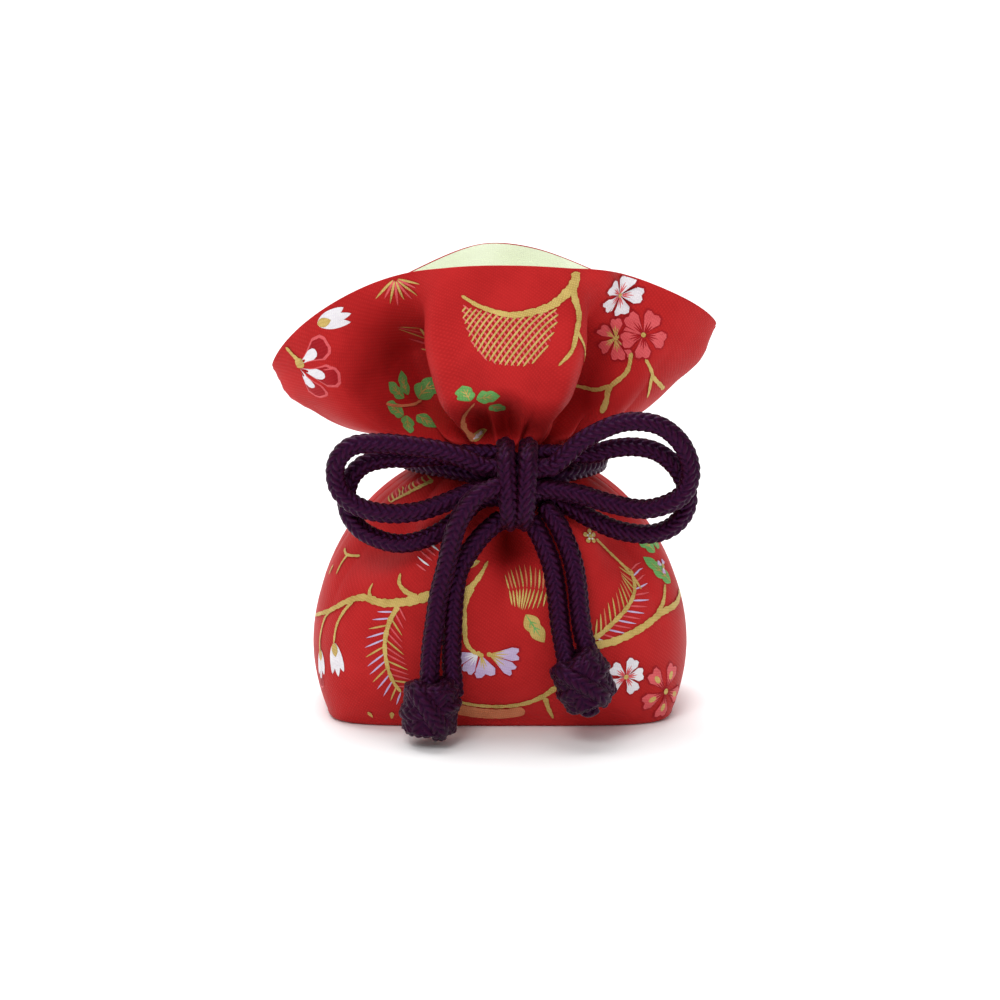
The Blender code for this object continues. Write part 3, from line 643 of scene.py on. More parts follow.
    def _neck_rows(self, crest: float, at_crest: Points, first: int) -> list[Points]:
        """The tuck under the crest and the pleated casing round the cords."""
        pleated = 0.95 * self._pleats() * self.near_seam()
        rows = []
        for share in np.linspace(0, 1, self.TUCK_ROWS)[1:]:
            turn = share * math.pi / 2
            radius = crest - (crest - self.neck_radius - self.CASING_SWELL) * math.sin(turn)
            height = self.crest_height - (self.crest_height - self.neck_low) * (1 - math.cos(turn))
            folds = at_crest * (1 - share) + pleated * share
            rows.append(self.pushed(self.loop(Outline(radius, radius), height), folds))
        for height in np.linspace(self.neck_low, self.neck_high, self.CASING_ROWS)[1:]:
            share = (height - self.neck_low) / (self.neck_high - self.neck_low)
            radius = self.neck_radius + self.CASING_SWELL * math.cos(share * 2 * math.pi)
            rows.append(self.pushed(self.loop(Outline(radius, radius), height), pleated))
        self.neck_rows = slice(first, first + len(rows))
        return rows

    def _rim(self) -> Points:
        """The mouth's edge, with rounded tips, two folds at the front and three at the back."""
        a = self._turns()
        c, s = np.cos(a), np.sin(a)
        x = np.where(c < 0, self.left_reach, self.right_reach) * c
        y = self.mouth_half_depth * np.sign(s) * np.abs(s) ** 1.2
        tip = np.where(c < 0, self.left_tip, self.right_tip)
        z = tip + (self.rim_height - tip) * np.clip(1 - np.abs(c) ** 2.2, 0, 1) ** 0.7
        lower_back = self.BACK_DROP * (1 - hump(x, 0, self.BACK_DROP_SPREAD)) - self.back_rise
        z -= np.where(s > 0, lower_back * np.abs(s) ** 0.7, 0)
        turn = np.degrees(a)
        for fold in self.FRONT_RIM_FOLDS + self.BACK_RIM_FOLDS:
            y += fold.on_rim(turn)
        x += self.PETAL_CORNER.on_rim(turn)
        return self._even(np.stack([x, y, z], axis=1))

    def _mouth_row(self, root: Points, rim: Points, q: float) -> Points:
        """A loop of the flared mouth, q of the way up from the neck."""
        s = self.share
        side = np.cos(2 * math.pi * s) ** 2
        curve = np.where(np.abs(s - 0.5) > 0.25, self.LEFT_TIP_CURVE, self.RIGHT_TIP_CURVE)
        rounder_tip = self.TIP_ROUNDING * math.sin(math.pi * min(1.0, max(0.0, (q - 0.7) / 0.3))) ** 2
        out = (1 - side) * (1 - (1 - q) ** 2) + side * (q**0.95 + rounder_tip)
        up = (1 - side) * q + side * q**curve
        row = root.copy()
        row[:, :2] += (rim[:, :2] - root[:, :2]) * out[:, None]
        row[:, 2] += (rim[:, 2] - root[:, 2]) * up
        row += self._mouth_folds(q)
        near = float(hump(max(q, 0.07), 0.07, 0.11))
        fine = (0.95 + 0.75 * float(ramp(0.0, 0.08, q))) * near * self._pleats()
        relief = fine + self._layers(self.MOUTH_GATHERS, q)
        return self.pushed(row, relief * (1 - ramp(0.55, 1.0, q)) * self.near_seam())

    def _mouth_folds(self, q: float) -> Points:
        """The flared mouth's own folds, q of the way up, as moves to the right and to the back."""
        s = self.share
        push = np.zeros((self.columns, 3))
        across, back = push[:, 0], push[:, 1]
        valley = self.VALLEY_RISE.at(q)
        pocket = self.POCKET_RISE.at(q)
        wing = np.minimum(1, 1.4 * np.sin(2 * math.pi * s) ** 2)
        # The left valley and the right pocket, which the petal's edges roll over
        back += wing * (valley * self.VALLEY.round_bag(s) + pocket * self.POCKET.round_bag(s))
        across += valley * sum(fold.round_bag(s) for fold in self.VALLEY_ROLL)
        across += pocket * sum(fold.round_bag(s) for fold in self.POCKET_ROLL)
        # The front petal and the two pits at its root
        tongue = ramp(*self.PETAL_LEFT_EDGE, s) * (1 - ramp(*self.PETAL_RIGHT_EDGE, s))
        back -= self.PETAL_PUSH * self.PETAL_RISE.at(q) * tongue
        back += self.LOW_PIT_RISE.at(q) * self.LOW_PIT.round_bag(s)
        back += self.HIGH_PIT_RISE.at(q) * self.HIGH_PIT.round_bag(s)
        # A soft swell on the left wing and three folds at the back
        back += math.sin(math.pi * q) * sum(fold.round_bag(s) for fold in self.FULL_HEIGHT_FOLDS)
        return push

    def normals(self, grid: Points) -> Points:
        """Outward unit normals of a grid of loops."""
        along = np.roll(grid, -1, axis=1) - np.roll(grid, 1, axis=1)
        normal = np.cross(along, np.gradient(grid, axis=0))
        return normal / np.linalg.norm(normal, axis=2, keepdims=True)


@dataclass
class GridSheet:
    """A mesh made of a grid of closed loops, with its cloth measure as its UV map."""

    name: str
    grid: Points
    up: Points
    girth: float

    FLOOR_RINGS = (0.9, 0.75, 0.55, 0.35, 0.15)

    def build(self, finish: bpy.types.Material, floor: bool) -> bpy.types.Object:
        """Makes the mesh.

        Args:
            finish: Material of the sheet.
            floor: Whether the lowest loop is closed by a flat panel.

        Returns:
            The sheet as an object.
        """
        rows, columns = self.grid.shape[:2]
        number = np.arange(rows * columns).reshape(rows, columns)
        points = self.grid.reshape(-1, 3)
        faces = [tuple(quad) for quad in quads_between(number, closed=True).reshape(-1, 4).tolist()]
        panel = []
        if floor:
            points, panel = self._floor(points, columns)
        item = add_mesh(self.name, points, faces + panel, finish)
        self._measure(item, rows, columns)
        return item

    def _floor(self, points: Points, columns: int) -> tuple[Points, Faces]:
        """Closes the lowest loop with shrinking rings; returns all points and the new faces."""
        edge = self.grid[0]
        first = len(points)
        rings = [edge * np.array([share, share, 1]) for share in self.FLOOR_RINGS]
        faces = []
        below = list(range(columns))
        for k in range(len(rings)):
            above = list(range(first + k * columns, first + (k + 1) * columns))
            for i in range(columns):
                j = (i + 1) % columns
                faces.append((below[j], below[i], above[i], above[j]))
            below = above
        centre = first + len(rings) * columns
        faces += [(below[(i + 1) % columns], below[i], centre) for i in range(columns)]
        middle = np.array([[0.0, 0.0, edge[0, 2]]])
        return np.vstack([points, *rings, middle]), faces

    def _measure(self, item: bpy.types.Object, rows: int, columns: int) -> None:
        """Writes the cloth's own measure into the UV map, and plain places for the floor panel."""
        across = np.arange(columns + 1) * (self.girth / columns) / UV_UNIT
        up = self.up / UV_UNIT
        corner = np.empty((rows - 1, columns, 4, 2))
        corner[:, :, [0, 3], 0] = across[None, :-1, None]
        corner[:, :, [1, 2], 0] = across[None, 1:, None]
        corner[:, :, [0, 1], 1] = up[:-1, None, None]
        corner[:, :, [2, 3], 1] = up[1:, None, None]
        place = np.empty(len(item.data.vertices) * 3)
        item.data.vertices.foreach_get("co", place)
        uv = place.reshape(-1, 3)[corner_vertices(item), :2] / (UV_UNIT * MM)
        uv[: corner.size // 2] = corner.reshape(-1, 2)
        item.data.uv_layers.new(name="cloth").data.foreach_set("uv", uv.ravel())


class Thread(Enum):
    """The brocade's picture threads."""

    GOLD = "gold"
    ROSE = "rose"
    CRIMSON = "crimson"
    WHITE = "white"
    LILAC = "lilac"
    LEAF = "leaf"
    TAN = "tan"


@dataclass
class Drape:
    """Carries flat measures of the cloth, round the bag and up it, onto the bag's surface."""

    form: BagForm
    surface: Points
    reach: int = 5
    normal: Points = field(init=False)
    spread: Points = field(init=False)

    def __post_init__(self) -> None:
        """Works out the surface's normals and its local stretch."""
        form = self.form
        self.normal = form.normals(self.surface)
        span = 2 * self.reach * form.girth() / form.columns
        ahead, behind = (np.roll(self.surface, way * self.reach, axis=1) for way in (-1, 1))
        across = (ahead - behind) / span
        up = np.gradient(self.surface, form.cloth_up, axis=0)
        width = np.linalg.norm(across, axis=2)
        right = across / width[:, :, None]
        upward = np.cross(self.normal, right)
        lean, rise = (up * right).sum(axis=2), (up * upward).sum(axis=2)
        zero = np.zeros_like(width)
        self.spread = np.stack([width, lean, zero, rise], axis=2).reshape(*width.shape, 2, 2)

    def _cells(self, spots: Points) -> tuple[Points, Points, Points, Points]:
        """The grid rows and columns below some spots, and how far past them the spots lie."""
        form = self.form
        row = np.interp(spots[:, 1], form.cloth_up, np.arange(len(form.cloth_up)))
        column = (spots[:, 0] / form.girth() * form.columns) % form.columns
        r = np.minimum(row.astype(int), len(form.cloth_up) - 2)
        c = column.astype(int) % form.columns
        return r, c, row - r, column - np.floor(column)

    def places(self, spots: Points, lift: float) -> Points:
        """Points on the bag, lifted off its surface.

        Args:
            spots: Cloth measures round and up, one row each, in millimetres.
            lift: Height above the cloth, in millimetres.

        Returns:
            Points of the pouch, in millimetres.
        """
        r, c, over, past = self._cells(spots)
        after = (c + 1) % self.form.columns
        over, past = over[:, None], past[:, None]
        found = []
        for grid in (self.surface, self.normal):
            low = grid[r, c] * (1 - past) + grid[r, after] * past
            high = grid[r + 1, c] * (1 - past) + grid[r + 1, after] * past
            found.append(low * (1 - over) + high * over)
        return found[0] + found[1] * lift

    def squeeze(self, spots: Points) -> Points:
        """Matrices that turn true millimetres on the surface into cloth measures, one for each spot."""
        r, c, _, _ = self._cells(spots)
        return np.linalg.inv(self.spread[r, c])


@dataclass
class Weaving:
    """The woven pictures, as thin raised patches on the cloth, gathered by thread."""

    drape: Drape
    shift: float = 0.0
    lowest: float = 0.08
    layer: float = 0.05
    margin: float = 0.12
    patches: dict[Thread, list[tuple[Points, float]]] = field(default_factory=dict)

    STRIP_STEP = 0.45
    END_STEPS = 1.6
    BLUNT_END = 0.25
    KNOB_LENGTHS = (1.9, 5.3)
    STRAND = 0.9

    def patch(self, thread: Thread, spots: Points, layer: float) -> None:
        """Adds a patch, whose spots are laid out in rows."""
        self.patches.setdefault(thread, []).append((spots, self.lowest + self.layer * layer))

    def moved(self, spots: Points | Route) -> Points:
        """Spots of a motif, moved round the cloth by the shift."""
        return np.array(spots, float) + np.array([self.shift, 0.0])

    def true_ways(self, line: Points) -> Points:
        """Steps along a moved line of cloth measures, as they are on the bag's surface."""
        return np.einsum("nij,nj->ni", np.linalg.inv(self.drape.squeeze(line)), np.gradient(line, axis=0))

    def strip(
        self,
        thread: Thread,
        route: Points | Route,
        widths: tuple[float, float],
        layer: float,
        knobs: float = 0.0,
    ) -> None:
        """Adds a strip along a route of cloth measures.

        Args:
            thread: Its thread.
            route: Points of its middle, round and up the cloth.
            widths: Its width at the start and at the end, in millimetres.
            layer: Which layer it lies in.
            knobs: How knobbly its edges are, as a share of its width.
        """
        line = smooth_route(self.moved(route), self.STRIP_STEP)
        t = np.linspace(0, 1, len(line))
        true = self.true_ways(line)
        true /= np.linalg.norm(true, axis=1, keepdims=True)
        half = 0.5 * (widths[0] + (widths[1] - widths[0]) * t)
        half *= np.clip(np.minimum(t, 1 - t) * len(line) / self.END_STEPS + self.BLUNT_END, 0, 1)
        run = np.arange(len(line)) * self.STRIP_STEP
        short, long = self.KNOB_LENGTHS
        half *= 1 + knobs * np.sin(run * 2 * math.pi / short) * np.sin(run * 2 * math.pi / long + 1)
        side = np.stack([-true[:, 1], true[:, 0]], axis=1) * half[:, None]
        across = np.einsum("nij,nj->ni", self.drape.squeeze(line), side)
        columns = max(3, 1 + 2 * math.ceil(max(widths) / self.STRAND))
        places = np.linspace(-1, 1, columns)
        self.patch(thread, line[:, None, :] - across[:, None, :] * places[None, :, None], layer)

    def shape(self, thread: Thread, at: Spot, flat: Points, turn: float, layer: float) -> None:
        """Adds a flat shape with its own zero at a spot, turned by degrees from the way round the cloth."""
        spot = self.moved([at])
        squeeze = self.drape.squeeze(spot)[0]
        self.patch(thread, spot[0] + turned(flat, turn) @ squeeze.T, layer)

    def build(self, finishes: dict[Thread, bpy.types.Material]) -> list[bpy.types.Object]:
        """Makes one piece for each thread.

        Args:
            finishes: The material of each thread.

        Returns:
            The pieces.
        """
        return [self._piece(thread, finishes[thread]) for thread in self.patches]

    def _piece(self, thread: Thread, finish: bpy.types.Material) -> bpy.types.Object:
        """All patches of one thread as a mesh, with the cloth's measure as its UV map."""
        top = self.drape.form.cloth_up[-1] - self.margin
        points, measures, faces = [], [], []
        count = 0
        for spots, lift in self.patches[thread]:
            rows, columns = spots.shape[:2]
            flat = spots.reshape(-1, 2)
            kept = flat[:, 1] < top
            flat = np.stack([flat[:, 0], np.clip(flat[:, 1], self.margin, top)], axis=1)
            points.append(self.drape.places(flat, lift))
            measures.append(flat)
            number = np.arange(rows * columns).reshape(rows, columns)
            quads = quads_between(number)
            seen = kept[quads].any(axis=2)
            if self._turned(spots):
                quads = quads[:, :, ::-1]
            faces += [tuple(quad) for quad in (quads[seen] + count).tolist()]
            count += rows * columns
        item = add_mesh(f"brocade_{thread.value}_thread", np.vstack(points), faces, finish)
        uv = np.vstack(measures)[corner_vertices(item)] / UV_UNIT
        item.data.uv_layers.new(name="cloth").data.foreach_set("uv", uv.ravel())
        return settle(item, Slot.BROCADE)

    @staticmethod
    def _turned(spots: Points) -> bool:
        """Whether a patch's rows run so that its faces would look into the bag."""
        r, c = spots.shape[0] // 2, spots.shape[1] // 2
        (ax, ay), (bx, by) = spots[r, c] - spots[r, c - 1], spots[r, c] - spots[r - 1, c]
        return ax * by - ay * bx < 0


def turned(flat: Points, degrees: float) -> Points:
    """A flat shape turned about its own zero."""
    a = math.radians(degrees)
    return flat @ np.array([[math.cos(a), math.sin(a)], [-math.sin(a), math.cos(a)]])


def petal(length: float, half_angle: float, notch: float, start: float = 0.12) -> Points:
    """A petal from the flower's heart outwards, round at the sides and notched at its tip."""
    v = np.linspace(-1, 1, 9)
    rim = length * np.clip(1 - np.abs(v) ** 2.5, 0, 1) ** 0.5 * (1 - notch * hump(v, 0, 0.28))
    u = np.linspace(start, 1, max(4, math.ceil(length / 0.55)))[:, None]
    angle = np.radians(half_angle) * v[None, :] * (0.55 + 0.45 * u)
    reach = rim[None, :] * u
    return np.stack([reach * np.cos(angle), reach * np.sin(angle)], axis=2)


def blade(length: float, width: float, lobes: int = 0, depth: float = 0.3) -> Points:
    """A leaf from its stalk outwards, with lobes round its edges where asked."""
    t = np.linspace(0, 1, max(6, math.ceil(length / 0.35)))
    half = width / 2 * np.sin(math.pi * t**0.85) ** 0.7
    if lobes:
        half *= 1 - depth * (1 - np.abs(np.sin(math.pi * lobes * t)))
    v = np.linspace(-1, 1, 7)
    along = length * t[:, None] + 0 * v[None, :]
    return np.stack([along, -half[:, None] * v[None, :]], axis=2)


def disc(radius: float) -> Points:
    """A small round patch."""
    a = np.linspace(0, 2 * math.pi, 13)
    u = np.linspace(0.05, 1, max(3, math.ceil(radius / 0.4)))[:, None]
    return radius * u[:, :, None] * np.stack([np.cos(a), np.sin(a)], axis=1)[None, :, :]


class Level:
    """Layers that the parts of a motif lie in; higher ones lie on top."""

    LEAF = 0.6
    NEEDLE = 1.5
    RIB = 1.3
    CUP = 1.2
    TWIG = 2.4
    STEM = 2.6


@dataclass(frozen=True)
class Twig:
    """A twig along a given route."""

    route: tuple[Spot, ...]
    widths: tuple[float, float] = (0.9, 0.45)
    thread: Thread = Thread.GOLD
    knobs: float = 0.2

    def weave(self, cloth: Weaving) -> None:
        """Adds it to the cloth."""
        cloth.strip(self.thread, self.route, self.widths, Level.TWIG, self.knobs)


@dataclass(frozen=True)
class Blossom:
    """A blossom, open or seen from its side: petals with a fine rim, stamens, and a heart."""

    at: Spot
    petals: tuple[float, ...]
    length: float
    thread: Thread
    detail: Thread = Thread.GOLD
    half_angle: float = 33.0
    notch: float = 0.16
    heart: float = 0.5
    spot: float = 0.0

    # The rim is longer and wider than the petal's face; each stamen has a bend and a share of the length
    RIM = (1.07, 1.14)
    STAMENS = ((-13, 0.5), (0, 0.6), (13, 0.5))
    STAMEN_WIDTH = 0.28
    SPOT_SHAPE = (1.3, 0.8)
    SPOT_AT = 0.55

    def weave(self, cloth: Weaving) -> None:
        """Adds it to the cloth, each petal over the one before it."""
        longer, wider = self.RIM
        rim = petal(self.length * longer, self.half_angle * wider, self.notch)
        face = petal(self.length, self.half_angle, self.notch)
        mark = disc(self.spot) * np.array(self.SPOT_SHAPE) + np.array([self.length * self.SPOT_AT, 0])
        for k, turn in enumerate(self.petals):
            layer = 0.6 * k
            cloth.shape(Thread.CRIMSON, self.at, rim, turn, layer)
            cloth.shape(self.thread, self.at, face, turn, layer + 0.3)
            for bend, reach in self.STAMENS:
                stamen = blade(self.length * reach, self.STAMEN_WIDTH)
                cloth.shape(self.detail, self.at, stamen, turn + bend, layer + 0.6)
            if self.spot:
                cloth.shape(Thread.GOLD, self.at, mark, turn, layer + 0.8)
        cloth.shape(Thread.GOLD, self.at, disc(self.heart), 0, 0.6 * len(self.petals) + 0.9)


@dataclass(frozen=True)
class PlumPetal:
    """A round petal drawn in outline, with a white wedge near its foot."""

    at: Spot
    turn: float
    length: float = 8.2
    half_angle: float = 24.0

    # Each layer has a thread, shares of the length and angle, a notch, a start and its height
    LAYERS = (
        (Thread.ROSE, 1.0, 1.0, 0.04, 0.3, 0),
        (Thread.CRIMSON, 0.93, 0.84, 0.04, 0.36, 0.4),
        (Thread.WHITE, 0.6, 0.7, 0.0, 0.35, 0.9),
    )

    def weave(self, cloth: Weaving) -> None:
        """Adds it to the cloth: its rim, the ground inside it and the wedge."""
        for thread, long, wide, notch, start, layer in self.LAYERS:
            flat = petal(self.length * long, self.half_angle * wide, notch, start)
            cloth.shape(thread, self.at, flat, self.turn, layer)


@dataclass(frozen=True)
class Bud:
    """A bud of narrow petals that stand together, in a gold cup."""

    at: Spot
    turn: float
    length: float = 6.2
    thread: Thread = Thread.WHITE

    # Each petal has a bend in degrees, a share of the bud's length and a layer
    PETALS = ((-15, 0.94, 0), (15, 0.9, 0.2), (0, 1.0, 0.4))

    def weave(self, cloth: Weaving) -> None:
        """Adds it to the cloth."""
        for bend, reach, layer in self.PETALS:
            flat = blade(self.length * reach, self.length * 0.3)
            cloth.shape(self.thread, self.at, flat, self.turn + bend, layer)
        cup = blade(self.length * 0.42, self.length * 0.26)
        cloth.shape(Thread.GOLD, self.at, cup, self.turn, Level.CUP)


@dataclass(frozen=True)
class Leaf:
    """A lobed leaf with a midrib and two pairs of veins."""

    at: Spot
    turn: float
    length: float = 5.0
    width: float = 3.0
    lobes: int = 0
    thread: Thread = Thread.LEAF
    rib: Thread = Thread.GOLD

    # Each vein starts at a share of the leaf's length and bends by degrees
    VEINS = ((0.25, 38), (0.45, 32), (0.25, -38), (0.45, -32))
    RIB_WIDTH = 0.3
    VEIN_WIDTH = 0.24

    def weave(self, cloth: Weaving) -> None:
        """Adds it to the cloth."""
        cloth.shape(self.thread, self.at, blade(self.length, self.width, self.lobes), self.turn, Level.LEAF)
        cloth.shape(self.rib, self.at, blade(self.length * 0.8, self.RIB_WIDTH), self.turn, Level.RIB)
        for reach, bend in self.VEINS:
            vein = turned(blade(self.width * 0.4, self.VEIN_WIDTH), bend)
            start = np.array([self.length * reach, 0])
            cloth.shape(self.rib, self.at, vein + start, self.turn, Level.RIB)


@dataclass(frozen=True)
class Frond:
    """Needles on one or both sides of a stem, in threads that take turns."""

    stem: tuple[Spot, ...]
    needle: float = 3.6
    pitch: float = 1.15
    angle: float = 55.0
    left: tuple[Thread, ...] = (Thread.GOLD, Thread.LILAC, Thread.ROSE)
    right: tuple[Thread, ...] = (Thread.ROSE, Thread.GOLD)
    stem_width: float = 0.8

    NEEDLE_WIDTH = 0.36
    KNOBS = 0.25

    def weave(self, cloth: Weaving) -> None:
        """Adds it to the cloth."""
        if self.stem_width:
            widths = (self.stem_width, self.stem_width * 0.6)
            cloth.strip(Thread.GOLD, self.stem, widths, Level.STEM, self.KNOBS)
        line = smooth_route(self.stem, self.pitch)
        for k, (spot, along) in enumerate(zip(line, cloth.true_ways(cloth.moved(line)))):
            turn = math.degrees(math.atan2(along[1], along[0]))
            reach = self.needle * (0.65 + 0.35 * math.sin(math.pi * (k + 0.5) / len(line)))
            for threads, way in ((self.left, 1), (self.right, -1)):
                if threads:
                    flat = blade(reach, self.NEEDLE_WIDTH)
                    cloth.shape(threads[k % len(threads)], spot, flat, turn + way * self.angle, Level.NEEDLE)


@dataclass(frozen=True)
class Spray:
    """Needles that fan out from one point."""

    at: Spot
    turns: tuple[float, ...]
    length: float = 4.5
    threads: tuple[Thread, ...] = (Thread.GOLD, Thread.ROSE)
    width: float = 0.5

    REACHES = (1.0, 0.8, 0.92)
    GAP = 0.5

    def weave(self, cloth: Weaving) -> None:
        """Adds it to the cloth."""
        for k, turn in enumerate(self.turns):
            reach = self.length * self.REACHES[k % len(self.REACHES)]
            needle = blade(reach, self.width) + np.array([self.GAP, 0])
            cloth.shape(self.threads[k % len(self.threads)], self.at, needle, turn, Level.NEEDLE)


@dataclass(frozen=True)
class NetFan:
    """A half-round net of slanting lines that hangs from an arched branch."""

    at: Spot
    half_width: float
    drop: float
    sag: float
    pitch: float = 1.05
    lean: float = 52.0
    threads: tuple[Thread, Thread] = (Thread.GOLD, Thread.ROSE)

    LINE_STEPS = 160
    LINE_WIDTH = 0.38

    def weave(self, cloth: Weaving) -> None:
        """Adds it to the cloth: two sets of lines, cut off at the branch above and the net's edge below."""
        x0, y0 = self.at
        reach = self.half_width + self.drop
        t = np.linspace(-reach, reach, self.LINE_STEPS)
        for thread, lean, layer in zip(self.threads, (self.lean, -self.lean), (1.6, 1.0)):
            c, s = math.cos(math.radians(lean)), math.sin(math.radians(lean))
            for offset in np.arange(-reach, reach, self.pitch):
                x, y = c * t - s * offset, s * t + c * offset
                lowest = -self.drop * np.clip(1 - np.abs(x / self.half_width) ** 2.8, 0, 1) ** 0.45
                highest = -self.sag * (1 - (x / self.half_width) ** 2)
                inside = np.nonzero((np.abs(x) < self.half_width) & (y > lowest) & (y < highest))[0]
                if len(inside) > 3:
                    ends = [(x0 + x[i], y0 + y[i]) for i in inside[[0, -1]]]
                    cloth.strip(thread, ends, (self.LINE_WIDTH, self.LINE_WIDTH), layer)


COLLAR_MOTIFS = (
    NetFan((60.0, 100.6), 9.6, 13.6, 3.2),
    Twig(((50.6, 102.6), (54.5, 99.2), (59.6, 97.4), (64.1, 98.4), (68.0, 100.7), (70.8, 104.2),
          (72.5, 107.2), (72.6, 109.4)), (0.6, 2.0)),
    Twig(((72.0, 106.0), (72.1, 103.5), (72.5, 99.6), (71.9, 95.2), (71.4, 91.5), (70.2, 88.6)), (1.5, 0.5)),
    Twig(((71.9, 95.8), (73.2, 92.4), (73.8, 89.6)), (0.7, 0.35)),
    Blossom((85.2, 105.8), (20, 92, 164, 236, 308), 4.9, Thread.WHITE, Thread.ROSE, 38),
    Blossom((92.4, 100.6), (8, 80, 152, 224, 296), 5.4, Thread.ROSE, Thread.CRIMSON, 35),
    Blossom((87.0, 97.4), (-35, 60, 120, 178, 245, 305), 4.8, Thread.ROSE, Thread.GOLD, 31),
    Twig(((91.6, 96.4), (92.1, 92.9), (89.9, 88.5), (90.8, 86.0), (92.0, 83.2)), (0.8, 1.1)),
    Twig(((79.4, 84.8), (83.0, 85.3), (86.5, 86.4), (89.9, 88.8)), (0.6, 1.0)),
    Twig(((95.2, 96.6), (98.9, 95.2), (101.7, 94.3), (107.4, 93.6)), (0.6, 1.0)),
    Twig(((99.5, 95.0), (101.3, 92.9), (103.4, 90.6)), (0.8, 0.4)),
    Twig(((75.0, 78.0), (76.6, 79.2)), (0.8, 0.8)),
    Spray((36.6, 109.6), (-156, -140, -124, -108, -92, -76, -58, -42, -28), 5.4),
    Frond(((39.0, 90.2), (38.6, 93.0), (38.2, 96.6)), 5.2, 1.5, 58, (Thread.GOLD, Thread.ROSE), ()),
    Bud((18.6, 108.4), -14, 7.4),
    Twig(((8.6, 109.2), (10.0, 107.0), (12.0, 104.8)), (0.7, 0.9)),
    PlumPetal((11.2, 104.8), 0, 9.0, 30.0),
    PlumPetal((11.2, 104.0), -50, 8.8, 36.0),
    PlumPetal((11.0, 104.0), -104, 7.8, 30.0),
    Leaf((12.2, 105.4), 200, 2.4, 2.6, thread=Thread.GOLD),
    Leaf((29.0, 85.0), 102, 5.0, 3.2, 2),
    Leaf((30.6, 84.6), 66, 5.4, 3.4, 2),
    Leaf((32.6, 82.2), 14, 6.6, 4.8, 2),
    Leaf((25.8, 82.0), 118, 4.6, 3.6, 2),
    Leaf((26.2, 81.6), 232, 5.0, 3.8, 2),
    Leaf((27.8, 80.4), 282, 4.4, 3.6, 2),
    Twig(((24.6, 87.0), (26.6, 84.6), (29.2, 82.8), (33.0, 81.4)), (0.7, 0.5), Thread.TAN),
    Leaf((49.4, 80.8), 104, 4.8, 4.4, 2),
    Leaf((50.8, 81.0), 6, 6.2, 4.8, 2),
    Leaf((54.4, 79.4), -42, 4.8, 3.0, 2),
    Twig(((45.4, 72.2), (45.8, 75.2), (47.8, 78.2), (50.2, 80.4)), (0.9, 0.5), Thread.TAN),
    Leaf((44.6, 72.4), 24, 2.2, 1.7, thread=Thread.GOLD, rib=Thread.WHITE),
)

